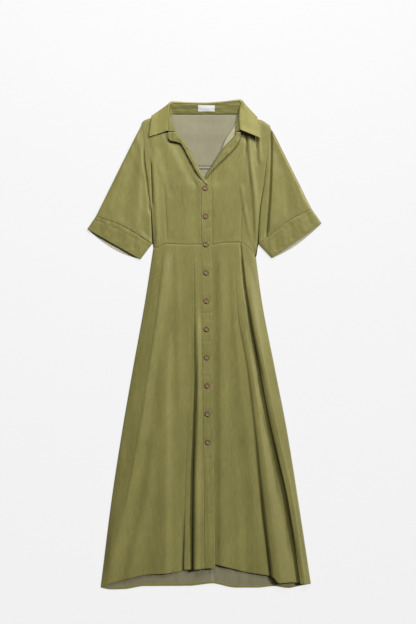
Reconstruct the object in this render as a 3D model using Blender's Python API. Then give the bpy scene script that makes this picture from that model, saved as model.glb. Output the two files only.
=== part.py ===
"""A shirt dress laid flat on its back, front up, buttoned below an open neck.

Every piece of cloth is a thin wall made from a middle surface. The back pieces lie on the ground,
the front pieces lie over them, and the folds of the skirt are lines that run from waist to hem.
X runs across the dress to the wearer's left, Y from hem to collar and Z up from the ground.
The tables are in millimetres, and the meshes in metres.
"""

import math
from collections import namedtuple

import bpy
import numpy as np

MM = 0.001

# ---- Driving dimensions, in millimetres ------------------------------------------------------
CLOTH = 1.2  # thickness of every cloth wall
SEAM = 0.3  # gap between two pieces sewn edge to edge
BACK_Z = CLOTH / 2  # middle of the layer on the ground
FRONT_Z = 6.4  # usual middle of the front layer
SIDE_Z = 2.15  # middle of the front's side edge, just above the back's
EDGE_ROUND = 9.0  # reach of the rounded turn at a side
SHOULDER_Z = 4.2  # middle of the front's shoulder edge, above the lifted yoke
LOW_NECK_Z = 3.9  # middle of the front under its turned-out edge
NECK_LIFT = 1.8  # rise of the yoke's top, over the folded collar
WAIST_Y = 270.0
BUTTON_DIAMETER = 14.5
BUTTON_THICKNESS = 2.6
BUTTON_PITCH = 76.1
FIRST_BUTTON_Y = 423.0
BUTTON_COUNT = 10

OLIVE = (0.285, 0.262, 0.088)
HORN = (0.115, 0.05, 0.026)
WHITE = (0.78, 0.78, 0.74)

# ---- Outlines, in millimetres ----------------------------------------------------------------
Edge = namedtuple("Edge", "y x")
RIGHT_SIDE = [  # the wearer's right: armhole from the shoulder, then the side down to the waist
    Edge(595, -169.5), Edge(552, -162.5), Edge(504, -160.0), Edge(439, -151.5),
    Edge(408, -149.0), Edge(366, -142.0), Edge(305, -138.0), Edge(262, -137.0),
]
LEFT_SIDE = [
    Edge(590, 177.5), Edge(552, 175.0), Edge(520, 171.5), Edge(484, 167.5), Edge(437, 161.5),
    Edge(387, 154.0), Edge(325, 148.5), Edge(276, 145.5), Edge(243, 141.5), Edge(232, 138.5),
]
UNDERARM_Y = 374.0
ARMHOLE_SEAM = 1.6  # gap in the deep crease between bodice and sleeve
NECK_SEAM = 0.6  # gap where a front's curved neck edge meets its band

Point = namedtuple("Point", "x y")
RIGHT_SHOULDER = [Point(-169.5, 595), Point(-163.5, 603.5), Point(-141, 612.5), Point(-92, 641.5)]
LEFT_SHOULDER = [Point(177.5, 590), Point(156, 605), Point(138, 609.5), Point(100, 645)]
BACK_NECK_Y = 620.8
YOKE_SEAM_Y = 483.5
WAIST = [
    Point(-137, 262), Point(-123, 262), Point(-112, 268.5), Point(-98, 271.5), Point(-52, 270),
    Point(-9, 270), Point(20, 270), Point(57, 275), Point(98, 276), Point(111, 269),
    Point(125, 255), Point(135.5, 234),
]
BACK_WAIST = [Point(-137, 262), Point(139, 234)]
BACK_HEM = [
    Point(-279, -655), Point(-253, -660), Point(-215, -659), Point(-163, -651), Point(-40, -650),
    Point(24, -643.5), Point(28, -644), Point(85, -655), Point(143, -655), Point(188, -651),
    Point(226, -656), Point(257, -650), Point(286, -645),
]

# The button band below the opening: its two edges, and how high its two layers lie.
Band = namedtuple("Band", "y left right z_over z_under")
BAND = [
    Band(432, -8.4, 17.8, 8.2, 5.4), Band(347, -8.0, 18.3, 7.8, 5.4),
    Band(262, -7.0, 19.3, 7.8, 5.4), Band(120, -6.2, 20.8, 8.4, 5.2),
    Band(-69, -4.4, 22.7, 9.6, 5.0), Band(-231, -2.4, 25.0, 11.0, 5.0),
    Band(-420, -0.2, 27.2, 12.0, 5.2), Band(-602, 1.4, 29.0, 12.4, 5.6),
]
OVER_HEM_Y = -602.0
UNDER_HEM_Y = -592.0
UNDER_INSET = 1.0  # the lower band is this much narrower on each side

# The opened neck. roll is the edge of the V, free the outer edge of the part that is turned out,
# and seam the join of band and front. z_seam is the height of the band there and z_front that of
# the front. The rows run from the end of the collar down to the band.
Turn = namedtuple("Turn", "roll_x roll_y free_x free_y seam_x seam_y z_seam z_front z_free")
RIGHT_TURN = [
    Turn(-74.5, 573, -97, 571.5, -80.5, 573, 3.9, 3.9, 9.5),
    Turn(-70.5, 564, -97.5, 558, -77, 563, 3.9, 3.9, 9.0),
    Turn(-63, 557.5, -91, 549, -71, 553, 3.9, 3.9, 9.5),
    Turn(-57, 551.5, -78, 546.5, -66.5, 547, 3.9, 3.9, 10.5),
    Turn(-51, 543.5, -64, 542, -61, 538, 3.9, 3.9, 9.5),
    Turn(-44, 532, -55, 528.5, -56, 526, 3.9, 3.9, 9.5),
    Turn(-33.5, 512, -45, 510, -47.5, 508.5, 3.9, 3.9, 10.0),
    Turn(-19, 484, -30, 482, -33.5, 480, 3.9, 3.9, 10.0),
    Turn(-7, 460, -16, 457, -21, 455, 4.4, 4.4, 10.2),
    Turn(5, 441, -1.5, 438, -12.5, 437, 7.6, 7.6, 10.4),
    Turn(13.5, 428, 13.5, 428, -9.2, 425, 8.2, 8.2, 8.2),
]
LEFT_TURN = [
    Turn(83.5, 573, 97.5, 571.5, 83.5, 573, 10.0, 8.5, 10.5),
    Turn(82, 563, 97.5, 559.5, 82, 563, 10.0, 8.5, 10.0),
    Turn(64.5, 545, 87, 536.5, 64.5, 545, 10.5, 9.0, 10.0),
    Turn(50, 529, 69.5, 519.5, 50, 529, 10.5, 9.0, 10.0),
    Turn(36, 507, 51, 498, 36, 507, 10.0, 8.5, 10.0),
    Turn(30, 498, 44.5, 490.5, 30, 498, 9.0, 5.5, 9.9),
    Turn(24.5, 489, 38.5, 484, 24.5, 489, 7.4, 3.9, 9.8),
    Turn(13, 466, 25, 463.5, 19, 466, 4.1, 3.9, 8.8),
    Turn(6, 454, 9.5, 452, 19, 454, 3.9, 3.9, 7.2),
    Turn(-1, 438, -1, 438, 18.4, 438, 4.6, 4.6, 4.6),
    Turn(-6.5, 425, -6.5, 425, 17.2, 425, 5.4, 5.4, 5.4),
]
# The front edges above the bands, where the stand is sewn on, down to the end of the collar.
RIGHT_NECKLINE = [Edge(641.5, -92), Edge(621, -90), Edge(600, -86.8), Edge(584, -83)]
LEFT_NECKLINE = [Edge(645, 100), Edge(611, 91.4), Edge(598, 87.6), Edge(586, 84.6)]
# The wearer's left front turns back past its band, so that a sliver of its wrong side shows
# between the edge of the V and the seam.
LEFT_ROLL = [
    Edge(606, 86), Edge(586, 78), Edge(565, 66), Edge(545, 51.5), Edge(529, 41), Edge(507, 28.2),
    Edge(489, 22),
]
STRIP_WIDTH = 2.4  # width of the turned columns where the edge isn't turned back
ROLL_Z = 6.2  # middle of the cloth on the roll

# ---- Skirt folds: lines of the front panels from waist to hem, in millimetres -----------------
Line = namedtuple(
    "Line", "name x_waist x_hip x_thigh x_knee x_calf x_hem z_waist z_thigh z_calf z_hem hem_y"
)
X_LEVELS = (262, 120, -69, -231, -420, -650)
Z_LEVELS = (262, -69, -420, -650)
RIGHT_SKIRT = [
    Line("side", -137, -159, -193, -221, -250, -279, SIDE_Z, SIDE_Z, SIDE_Z, SIDE_Z, -655),
    Line("side roll", -135, -156.5, -190, -218, -247, -276, 4.8, 5.5, 6.0, 5.5, -653.5),
    Line("side crown", -126, -145, -176, -204, -232, -262, 6.3, 9.0, 10.0, 8.5, -647),
    Line("outer trough", -114, -126, -142, -171, -198, -222, 6.0, 5.8, 5.8, 6.2, -635),
    Line("outer crown", -100, -106, -118, -141, -164, -182, 6.4, 8.8, 10.5, 10.0, -625),
    Line("slope", -84, -86, -94, -110, -128, -145, 6.4, 7.6, 7.8, 7.8, -619),
    Line("inner trough", -70, -68, -74, -88, -101, -111, 6.3, 6.0, 5.8, 5.6, -617),
    Line("inner crown", -55, -51, -54, -64, -74, -84, 6.4, 8.4, 9.2, 9.4, -614),
    Line("strip foot", -41, -38, -36, -42, -48, -53, 6.4, 7.0, 7.2, 4.0, -609),
    Line("strip edge", -36, -34.5, -33.5, -38, -44.5, -55, 6.4, 7.0, 7.8, 9.2, -606.5),
    Line("strip", -31, -30, -29, -31, -36, -42, 6.5, 7.0, 8.6, 9.6, -605.5),
    Line("pleat foot", -27.5, -26, -22.5, -22.5, -27, -29, 6.6, 6.0, 6.2, 6.6, -605),
    Line("pleat edge", -26, -24.5, -23.5, -24.5, -29.5, -31, 6.7, 9.2, 12.8, 13.6, -604),
    Line("pleat top", -18, -17, -16, -15, -17, -18, 7.0, 9.6, 12.6, 13.2, -603),
]
LEFT_SKIRT = [
    Line("beside band", 25, 28, 31, 35, 39, 44, 5.8, 5.4, 5.8, 6.6, -595),
    Line("inner crown", 45, 50, 58, 66, 72, 78, 6.4, 8.4, 8.8, 8.6, -604),
    Line("inner trough", 62, 68, 82, 96, 108, 118, 6.3, 6.2, 6.0, 6.0, -614),
    Line("rise", 74, 77, 96, 116, 134, 152, 6.4, 7.8, 8.6, 8.4, -618.5),
    Line("inner foot", 84, 87.5, 113, 138, 160, 183.5, 6.3, 5.6, 4.6, 4.0, -623),
    Line("inner edge", 85.5, 89.5, 114, 138, 158.8, 181.5, 6.4, 8.4, 13.5, 16.5, -627),
    Line("inner ridge", 90, 97, 124, 150, 173, 199, 6.4, 8.8, 13.8, 16.2, -641),
    Line("between", 95, 107, 137, 166, 200, 232, 6.4, 7.6, 9.6, 10.0, -640),
    Line("outer foot", 100, 117, 149, 181, 229, 264, 6.0, 4.6, 4.6, 6.2, -643),
    Line("outer edge", 101.5, 117.8, 147.5, 179.3, 227.6, 263.5, 6.6, 14.6, 14.6, 10.4, -643.5),
    Line("outer ridge", 109, 127, 159, 193, 238.5, 271, 7.0, 15.2, 14.0, 10.6, -644),
    Line("side crown", 122, 142, 177, 208, 243, 278, 6.4, 11.0, 9.6, 8.4, -645),
    Line("side roll", 133, 152, 188, 219.5, 250, 285, 4.8, 5.5, 6.0, 5.5, -645),
    Line("side", 135.5, 154.5, 191, 222.5, 253, 288, SIDE_Z, SIDE_Z, SIDE_Z, SIDE_Z, -645),
]
CENTRE_BACK = [Edge(276, 6), Edge(-650, 25.5)]

# ---- Soft ridges (positive) and creases (negative) of the bodice and the sleeves ---------------
Fold = namedtuple("Fold", "x0 y0 x1 y1 height width")
BODICE_FOLDS = [
    Fold(-150, 470, -142, 350, 3.0, 5.0), Fold(-142, 470, -140, 380, -2.5, 3.0),
    Fold(-118, 560, -112, 300, 1.6, 14.0), Fold(-60, 470, -52, 290, 1.2, 14.0),
    Fold(134, 480, 146, 300, 4.5, 8.0), Fold(125, 400, 133, 340, -2.2, 6.0),
    Fold(113, 540, 118, 430, -2.0, 6.0), Fold(90, 430, 86, 290, 1.4, 14.0),
]
SLEEVE_FOLDS = [
    Fold(-190, 520, -262, 372, 1.8, 16.0), Fold(-172, 480, -186, 300, 1.6, 14.0),
    Fold(181, 560, 166, 290, -3.0, 5.0), Fold(190, 540, 186, 310, 2.0, 10.0),
    Fold(215, 490, 262, 372, 1.6, 16.0),
]

# ---- Sleeves and cuffs -------------------------------------------------------------------------
# outer and inner are the ends of the cuff seam and of the cuff's front edge. The outlines of the
# two sleeves differ, because each lies in its own way.
Sleeve = namedtuple(
    "Sleeve", "name seam_outer seam_inner seam_rise inner_bulge edge_outer edge_inner back_drop"
)
SLEEVES = [
    Sleeve("right", Point(-291, 346), Point(-142.5, 272), 9.0, 0.0,
           Point(-315.6, 311.3), Point(-173, 230.3), 13.0),
    Sleeve("left", Point(288, 366), Point(148.2, 269), 9.0, -1.5,
           Point(316.2, 327), Point(182.3, 233.3), 11.0),
]
SLEEVE_Z = 7.6
CUFF_Z = 9.0
CUFF_SEAM = 0.7  # gap between sleeve and cuff, along Y
CUFF_DIP_Z = 7.6  # middle of the cuff's top layer at its seam

# ---- Collar ------------------------------------------------------------------------------------
Stand = namedtuple("Stand", "neck_x neck_y neck_z top_x top_y top_z")
STAND = [
    Stand(-75.2, 574.4, 6.0, -97, 574.2, 9.4), Stand(-81, 587, 5.8, -96.6, 588, 9.6),
    Stand(-85.4, 602, 5.8, -95.8, 604, 9.6), Stand(-88.4, 617, 5.4, -94.6, 626, 8.8),
    Stand(-86.5, 621.6, 4.4, -90.5, 645, 6.2), Stand(-72, 621.6, 4.2, -76, 649.2, 4.8),
    Stand(-40, 621.6, 4.0, -42, 648.6, 4.6), Stand(0, 621.6, 4.0, 0, 647.6, 4.6),
    Stand(42, 621.6, 4.0, 44, 650.4, 4.6), Stand(80, 621.6, 4.2, 86, 654.6, 4.8),
    Stand(92, 621.6, 4.4, 100, 648, 6.4), Stand(93.4, 616, 5.4, 99.6, 628, 9.0),
    Stand(90.5, 602, 5.8, 98.4, 604, 10.4), Stand(87, 588, 5.8, 97.9, 588, 10.8),
    Stand(84.2, 574.4, 6.0, 97.5, 574.2, 10.6),
]
# The fall: seam is its join with the stand, crest its rolled top edge and outer its free edge.
Fall = namedtuple("Fall", "seam_x seam_y seam_z crest_x crest_y crest_z outer_x outer_y outer_z")
FALL = [
    Fall(-97.5, 575.5, 9.6, -99.5, 575.5, 11.2, -149, 559.5, 9.0),
    Fall(-97.1, 590, 9.8, -99, 590, 11.6, -147.4, 577, 8.8),
    Fall(-96.3, 606, 9.8, -98, 606.5, 11.6, -145, 594, 8.6),
    Fall(-95.2, 627, 9.2, -97.2, 629, 11.0, -142.8, 608, 8.4),
    Fall(-92.3, 645.6, 6.6, -95, 647, 8.4, -142, 616.4, 6.4),
    Fall(-90.8, 646.6, 6.4, -93.4, 651.5, 4.4, -141, 617.2, 0.8),
    Fall(-84, 649.4, 5.4, -86, 655.0, 3.0, -124, 604, 0.6),
    Fall(-74, 650.2, 5.0, -74, 654.6, 2.8, -84, 606, 0.6),
    Fall(-42, 649.4, 4.8, -42, 652.6, 2.8, -42, 606, 0.6),
    Fall(0, 648.4, 4.8, 0, 651.8, 2.8, 0, 606, 0.6),
    Fall(44, 651.2, 4.8, 44, 654.6, 2.8, 44, 606, 0.6),
    Fall(84, 655.4, 5.0, 84, 659.2, 2.8, 88, 606, 0.6),
    Fall(94, 655, 5.4, 95.5, 659.6, 3.0, 126, 600, 0.6),
    Fall(100.4, 651.4, 6.6, 103.4, 655.4, 4.6, 141.6, 614.4, 0.8),
    Fall(101.2, 649, 6.8, 105, 650.4, 8.8, 142.4, 613.4, 6.6),
    Fall(100.2, 629, 9.4, 103, 630, 11.6, 144, 601, 9.2),
    Fall(98.9, 606, 10.8, 101, 606.5, 12.8, 146, 588, 11.4),
    Fall(98.4, 590, 11.2, 100.4, 590, 13.4, 148.6, 573, 13.0),
    Fall(98, 575.5, 11.0, 100, 576.5, 13.6, 151, 559.8, 14.6),
]
LABEL_WIDTH = 45.0
LABEL_HEIGHT = 16.5
LABEL_CENTRE = Point(5.5, 636.8)


def curve(knots, values, at):
    """A smooth curve through the values: a cubic between knots that never passes beyond them."""
    order = np.argsort(knots)
    k = np.asarray(knots, float)[order]
    v = np.asarray(values, float)[order]
    step = np.diff(k)
    rise = np.diff(v) / step
    slope = np.zeros(len(k))
    slope[0], slope[-1] = rise[0], rise[-1]
    for i in range(1, len(k) - 1):
        if rise[i - 1] * rise[i] > 0:
            slope[i] = 2 / (1 / rise[i - 1] + 1 / rise[i])
    x = np.clip(np.asarray(at, float), k[0], k[-1])
    i = np.clip(np.searchsorted(k, x, side="right") - 1, 0, len(k) - 2)
    t = (x - k[i]) / step[i]
    start = (1 + 2 * t) * (1 - t) ** 2 * v[i] + t * (1 - t) ** 2 * step[i] * slope[i]
    end = t * t * (3 - 2 * t) * v[i + 1] + t * t * (t - 1) * step[i] * slope[i + 1]
    return start + end


def column(table, name):
    """One named column of a table."""
    return [getattr(row, name) for row in table]


def side_x(table, y):
    """The x of a side outline at each y."""
    return curve(column(table, "y"), column(table, "x"), y)


def waist_y(x):
    """The y of the front's waist seam at each x."""
    return curve(column(WAIST, "x"), column(WAIST, "y"), x)


def back_waist_y(x):
    """The y of the back's waist seam, a straight line from side to side."""
    start, stop = BACK_WAIST
    return start.y + (x - start.x) * (stop.y - start.y) / (stop.x - start.x)


def band(name, y):
    """An edge or a height of the button band at each y."""
    return curve(column(BAND, "y"), column(BAND, name), y)


def smooth(t):
    """Eases from 0 to 1."""
    t = np.clip(t, 0, 1)
    return t * t * (3 - 2 * t)


def rounded(distance, radius):
    """The quarter round of a cloth's turned edge: 0 on the edge, 1 from radius inwards."""
    t = 1 - np.clip(distance / radius, 0, 1)
    return np.sqrt(1 - t * t)


def folds(table, x, y):
    """The sum of soft ridges, each a bell across its line that fades towards both ends."""
    height = np.zeros(np.shape(x))
    for f in table:
        along = np.array([f.x1 - f.x0, f.y1 - f.y0], float)
        length = np.hypot(*along)
        along /= length
        t = ((x - f.x0) * along[0] + (y - f.y0) * along[1]) / length
        across = (x - f.x0) * along[1] - (y - f.y0) * along[0]
        fade = smooth(t / 0.3 + 0.5) * smooth((1 - t) / 0.3 + 0.5)
        height += f.height * np.exp(-((across / f.width) ** 2)) * fade
    return height


def blend(a, b, t):
    """A point t of the way from a to b."""
    return a * (1 - t) + b * t


def material(name, colour, roughness):
    """A plain Principled material."""
    made = bpy.data.materials.new(name)
    made.use_nodes = True
    shader = made.node_tree.nodes["Principled BSDF"]
    shader.inputs["Base Color"].default_value = (*colour, 1)
    shader.inputs["Roughness"].default_value = roughness
    shader.inputs["Metallic"].default_value = 0
    made.diffuse_color = (*colour, 1)
    return made


def cloth(name, middle, finish, tube=False):
    """A wall of cloth round a grid of points, rows down and columns across, closed across if a tube."""
    rows, columns = middle.shape[:2]
    index = np.arange(rows * columns).reshape(rows, columns)
    right = np.roll(index, -1, axis=1) if tube else index[:, 1:]
    left = index if tube else index[:, :-1]
    faces = np.stack([left[:-1], left[1:], right[1:], right[:-1]], axis=-1).reshape(-1, 4)
    mesh = bpy.data.meshes.new(name)
    mesh.from_pydata((middle.reshape(-1, 3) * MM).tolist(), [], faces.tolist())
    mesh.materials.append(finish)
    mesh.shade_smooth()
    piece = bpy.data.objects.new(name, mesh)
    bpy.context.scene.collection.objects.link(piece)
    wall = piece.modifiers.new("wall", "SOLIDIFY")
    wall.thickness = CLOTH * MM
    wall.offset = 0
    return piece


def table_points(table, prefix):
    """The points of a table's prefix_x, prefix_y and prefix_z columns, a row of the dress each."""
    return np.array([column(table, f"{prefix}_{axis}") for axis in "xyz"], float).T


def front_height(x, y, side_distance, low):
    """Middle of the bodice's front layer: low by the neck, round at the side, with its folds.

    low is 1 under the turned-out edge of the neck and 0 away from it."""
    height = blend(FRONT_Z + folds(BODICE_FOLDS, x, y), LOW_NECK_Z, low)
    edge = blend(SIDE_Z, SHOULDER_Z, smooth((y - UNDERARM_Y + 20) / 40))
    return edge + (height - edge) * rounded(side_distance, EDGE_ROUND)


def line_tops(lines):
    """Where each of a skirt's lines meets the waist seam."""
    tops = []
    for line in lines:
        y = float(waist_y(line.x_waist))
        tops.append(Point(float(curve(X_LEVELS, line[1:7], y)), y))
    return tops


def front_seam(on_right):
    """The seam of a front bodice with the stand and the band: its y, x and height, going down."""
    turn = RIGHT_TURN if on_right else LEFT_TURN
    neckline = RIGHT_NECKLINE if on_right else LEFT_NECKLINE
    below = np.array([385, 328, WAIST_Y])
    edge = band("left", below) if on_right else band("right", below) - UNDER_INSET
    height = band("z_over" if on_right else "z_under", below)
    y = np.array([*column(neckline, "y"), *column(turn, "seam_y"), *below])
    x = np.array([*column(neckline, "x"), *column(turn, "seam_x"), *edge])
    z = np.array([*([LOW_NECK_Z] * len(neckline)), *column(turn, "z_front"), *height])
    return y, x, z


def bodice_front(on_right):
    """A front bodice's grid, from the neck edge or the band's seam out to its side.

    Its rows start at the seam's points, and its columns run on from the skirt's lines, so that the
    pieces meet at the same points."""
    sign = -1 if on_right else 1
    side = RIGHT_SIDE if on_right else LEFT_SIDE
    shoulder = RIGHT_SHOULDER if on_right else LEFT_SHOULDER
    tops = sorted(line_tops(RIGHT_SKIRT if on_right else LEFT_SKIRT), key=lambda p: abs(p.x))
    seam_y, seam_x, seam_z = front_seam(on_right)
    line_x = np.array([seam_x[-1] + sign * SEAM] + [p.x for p in tops])
    line_y = np.array([WAIST_Y] + [p.y for p in tops]) + SEAM
    across = (line_x - line_x[0]) / (line_x[-1] - line_x[0])
    top_x = blend(shoulder[-1].x, shoulder[0].x, across)
    top_y = curve(column(shoulder, "x"), column(shoulder, "y"), top_x)
    grid = []
    for v in (seam_y[0] - seam_y) / (seam_y[0] - seam_y[-1]):
        y = blend(top_y, line_y, v)
        inner = blend(curve(seam_y, seam_x, y) + sign * NECK_SEAM, line_x[0], v**8)
        turned = 0 if on_right else smooth((y[0] - 489) / 18) * smooth((608 - y[0]) / 20)
        roll_x = curve(column(LEFT_ROLL, "y"), column(LEFT_ROLL, "x"), y)
        start = blend(inner, roll_x + 3, turned)
        outer = side_x(side, y)
        x = blend(start, outer, across)
        x = x + (line_x - blend(line_x[0], side_x(side, line_y[-1]), across)) * v**4
        neck_distance = np.abs(x - inner)
        low = (1 - smooth((neck_distance - 12) / 26)) * smooth((y - 415) / 30)
        z = front_height(x, y, np.abs(x - outer), low)
        z = SHOULDER_Z + (z - SHOULDER_Z) * rounded((top_y - y) * 0.9 + 0.01, 10.0)
        by_band = (1 - smooth(neck_distance / 14)) * (1 - turned)
        z = blend(z, curve(seam_y, seam_z, y), by_band)
        row = np.stack([x, y, z], axis=-1)
        if not on_right:
            row = turn_back(row, inner[0], roll_x[0], curve(seam_y, seam_z, y[0]), turned)
        grid.append(row)
    grid = np.array(grid)
    return grid[:, ::-1] if on_right else grid


def turn_back(row, seam_x, roll_x, seam_z, turned):
    """Adds the three columns of the strip that turns back over the edge of the V, up to the seam.

    The strip swings about its hinge as turned goes from 0, where it lies flat beside the row, to
    1, where it lies above it."""
    hinge = blend(seam_x + STRIP_WIDTH, roll_x, turned)
    width = blend(STRIP_WIDTH, seam_x - NECK_SEAM - roll_x, turned)
    share = np.array([1, 0.5, 0])
    swing = math.pi * turned
    x = hinge - width * share * math.cos(swing)
    rise = 0.5 * width * math.sin(swing) + max(seam_z - ROLL_Z, 0) * turned
    z = blend(seam_z, ROLL_Z, turned) + share * rise
    row[0, 0] = hinge + blend(STRIP_WIDTH / 3, 3, turned)
    row[0, 2] = blend(row[0, 2], LOW_NECK_Z, turned)
    along = np.clip((np.array([*x, row[0, 0]]) - seam_x) / (row[1, 0] - seam_x), 0, 1)
    y = blend(row[0, 1], row[1, 1], along * (1 - turned))
    row[0, 1] = y[-1]
    return np.concatenate([np.stack([x, y[:-1], z], axis=-1), row])


def skirt_front(lines, seam_name, height_name, on_right):
    """The skirt front's grid: its table's lines and the seam with the band, from waist to hem."""
    down = np.linspace(0, 1, 13) ** 1.05
    columns = []
    for line, top in zip(lines, line_tops(lines)):
        y = blend(top.y - SEAM / 2, line.hem_y, down)
        x = curve(X_LEVELS, line[1:7], y)
        z = curve(Z_LEVELS, line[7:11], y)
        columns.append(np.stack([x, y, z], axis=-1))
    hem_y = OVER_HEM_Y if on_right else UNDER_HEM_Y
    y = blend(waist_y(band(seam_name, WAIST_Y)) - SEAM / 2, hem_y, down)
    x = band(seam_name, y) + (-SEAM if on_right else SEAM - UNDER_INSET)
    columns.insert(len(columns) if on_right else 0, np.stack([x, y, band(height_name, y)], axis=-1))
    return np.stack(columns, axis=1)


def build_fronts(olive):
    """The two front bodices and the two front skirt panels."""
    cloth("front_bodice_right", bodice_front(True), olive)
    cloth("front_bodice_left", bodice_front(False), olive)
    cloth("front_skirt_right", skirt_front(RIGHT_SKIRT, "left", "z_over", True), olive)
    cloth("front_skirt_left", skirt_front(LEFT_SKIRT, "right", "z_under", False), olive)


def build_backs(olive):
    """The yoke, the back bodice and the two back skirt panels, flat on the ground."""
    top = [*RIGHT_SHOULDER, Point(-78, BACK_NECK_Y), Point(0, BACK_NECK_Y), Point(84, BACK_NECK_Y)]
    top += reversed(LEFT_SHOULDER)
    top_x, top_y = np.array(column(top, "x")), np.array(column(top, "y")) - 2 * SEAM
    bottom_x = np.linspace(side_x(RIGHT_SIDE, YOKE_SEAM_Y), side_x(LEFT_SIDE, YOKE_SEAM_Y), len(top))
    grid = []
    for v in (0, 0.2, 0.4, 0.6, 1):
        y = blend(top_y, YOKE_SEAM_Y + SEAM, v)
        x = blend(top_x, bottom_x, v)
        x = np.clip(x, side_x(RIGHT_SIDE, y) + SEAM, side_x(LEFT_SIDE, y) - SEAM)
        lift = smooth((y - 540) / 32) * smooth((167 - np.abs(x)) / 12)
        grid.append(np.stack([x, y, BACK_Z + NECK_LIFT * lift], axis=-1))
    cloth("back_yoke", np.array(grid), olive)

    share = np.linspace(0, 1, 9)
    end_x = blend(RIGHT_SIDE[-1].x, BACK_WAIST[-1].x, share)
    grid = []
    for v in np.linspace(0, 1, 8):
        y = blend(YOKE_SEAM_Y - SEAM / 2, back_waist_y(end_x) + SEAM / 2, v)
        x = blend(side_x(RIGHT_SIDE, y), side_x(LEFT_SIDE, y), share)
        grid.append(np.stack([x, y, np.full(len(x), BACK_Z)], axis=-1))
    cloth("back_bodice", np.array(grid), olive)

    cloth("back_skirt_right", skirt_back(RIGHT_SKIRT[0], BACK_WAIST[0].x, -1), olive)
    cloth("back_skirt_left", skirt_back(LEFT_SKIRT[-1], BACK_WAIST[-1].x, 1)[:, ::-1], olive)


def skirt_back(side, side_x_waist, sign):
    """A back skirt panel from its side to the centre seam, on the wearer's left if sign is 1."""
    share = np.linspace(0, 1, 9)
    waist_x = blend(side_x_waist, CENTRE_BACK[0].x, share)
    hem_x = blend(side.x_hem, CENTRE_BACK[-1].x, share)
    hem_y = curve(column(BACK_HEM, "x"), column(BACK_HEM, "y"), hem_x)
    grid = []
    for v in np.linspace(0, 1, 7):
        y = blend(back_waist_y(waist_x) - SEAM / 2, hem_y, v)
        outer = curve(X_LEVELS, side[1:7], y)
        x = blend(outer, side_x(CENTRE_BACK, y) + sign * SEAM / 2, share)
        grid.append(np.stack([x, y, np.full(len(x), BACK_Z)], axis=-1))
    return np.array(grid)


def turned_row(t, across):
    """Points across a band where it is turned out.

    A share of its width lies below, from the seam to the roll, and the rest lies above it, from
    the roll to the free edge."""
    seam = np.array([t.seam_x, t.seam_y])
    roll = np.array([t.roll_x, t.roll_y])
    free = np.array([t.free_x, t.free_y])
    below = np.hypot(*(seam - roll))
    above = np.hypot(*(free - roll))
    share = below / (below + above)
    along_below = np.clip(across / max(share, 1e-6), 0, 1)[:, None]
    along_above = np.clip((across - share) / max(1 - share, 1e-6), 0, 1)[:, None]
    plan = np.where(across[:, None] < share, blend(seam, roll, along_below),
                    blend(roll, free, along_above))
    climb = smooth((across - share) / 0.2 + 0.5 * (share > 0))
    return np.column_stack([plan, blend(t.z_seam, t.z_free, climb)])


def build_bands(olive):
    """The two button bands: flat down the front, and turned out as lapels above the first button."""
    across = np.linspace(0, 1, 7)
    for name, turn, on_right in (("over", RIGHT_TURN, True), ("under", LEFT_TURN, False)):
        rows = [turned_row(t, across) for t in turn]
        opening = (rows[-2] + rows[-1]) / 2  # where the turned edge unfolds, it stands up
        opening[-2:, 2] += np.array([0.4, 1]) * (2.5 if on_right else 1.8)
        rows.insert(-1, opening)
        hem_y = OVER_HEM_Y if on_right else UNDER_HEM_Y
        inset = 0 if on_right else UNDER_INSET
        height = "z_over" if on_right else "z_under"
        seam_edge, free_edge = ("left", "right") if on_right else ("right", "left")
        sign = 1 if on_right else -1
        for y in blend(rows[-1][0][1] - 12, hem_y, np.linspace(0, 1, 10)):
            x = blend(band(seam_edge, y) + sign * inset, band(free_edge, y) - sign * inset, across)
            z = np.full(len(across), float(band(height, y)))
            rows.append(np.column_stack([x, np.full(len(across), y), z]))
        grid = np.array(rows)
        cloth(f"button_band_{name}", grid if on_right else grid[:, ::-1], olive)


def tube(name, top, bottom, finish):
    """A flattened tube from a top and a bottom grid of equal rows, with a round between them."""
    ends = []
    for side in (0, -1):
        middle = (top[:, side] + bottom[:, side]) / 2
        inward = 1 if side == 0 else -2
        outwards = top[:, side] - top[:, inward]
        outwards[:, 2] = 0
        outwards /= np.linalg.norm(outwards, axis=1)[:, None]
        reach = np.abs(top[:, side, 2] - bottom[:, side, 2])[:, None] / 2
        ends.append(middle + outwards * reach * 0.8)
    ring = np.concatenate(
        [ends[0][:, None], top, ends[1][:, None], bottom[:, ::-1]], axis=1)
    return cloth(name, ring, finish, tube=True)


def sleeve_grids(sleeve, rows, share_top, share_bottom):
    """The top and bottom layers of a sleeve from the armhole to the cuff's seam."""
    side, sign = (RIGHT_SIDE, -1) if sleeve.name == "right" else (LEFT_SIDE, 1)
    made = []
    for share, is_top in ((share_top, True), (share_bottom, False)):
        grid = np.zeros((rows, len(share), 3))
        for i, v in enumerate(np.linspace(0, 1, rows)):
            armhole_y = blend(side[0].y - 5, UNDERARM_Y + 5, share)
            armhole_x = side_x(side, armhole_y) + sign * ARMHOLE_SEAM
            cuff_x = blend(sleeve.seam_outer.x, sleeve.seam_inner.x, share)
            cuff_y = blend(sleeve.seam_outer.y, sleeve.seam_inner.y, share)
            cuff_y = cuff_y + sleeve.seam_rise * np.sin(math.pi * share)
            x = blend(armhole_x, cuff_x, v)
            x = x + sign * sleeve.inner_bulge * share**4 * math.sin(math.pi * v)
            y = blend(armhole_y, cuff_y, v)
            if is_top:
                full = SLEEVE_Z + folds(SLEEVE_FOLDS, x, y)
                full = blend(SHOULDER_Z + 0.6, full, smooth(v / 0.1 + 0.05))
                full = blend(full, CUFF_DIP_Z, smooth((v - 0.85) / 0.15))
                edge = rounded(np.minimum(share, 1 - share) * 140 + 1.5, 9.0)
                z = 3.4 + (full - 3.4) * edge
            else:
                z = np.full(len(share), BACK_Z)
            grid[i] = np.stack([x, y, z], axis=-1)
        made.append(grid)
    return made


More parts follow.
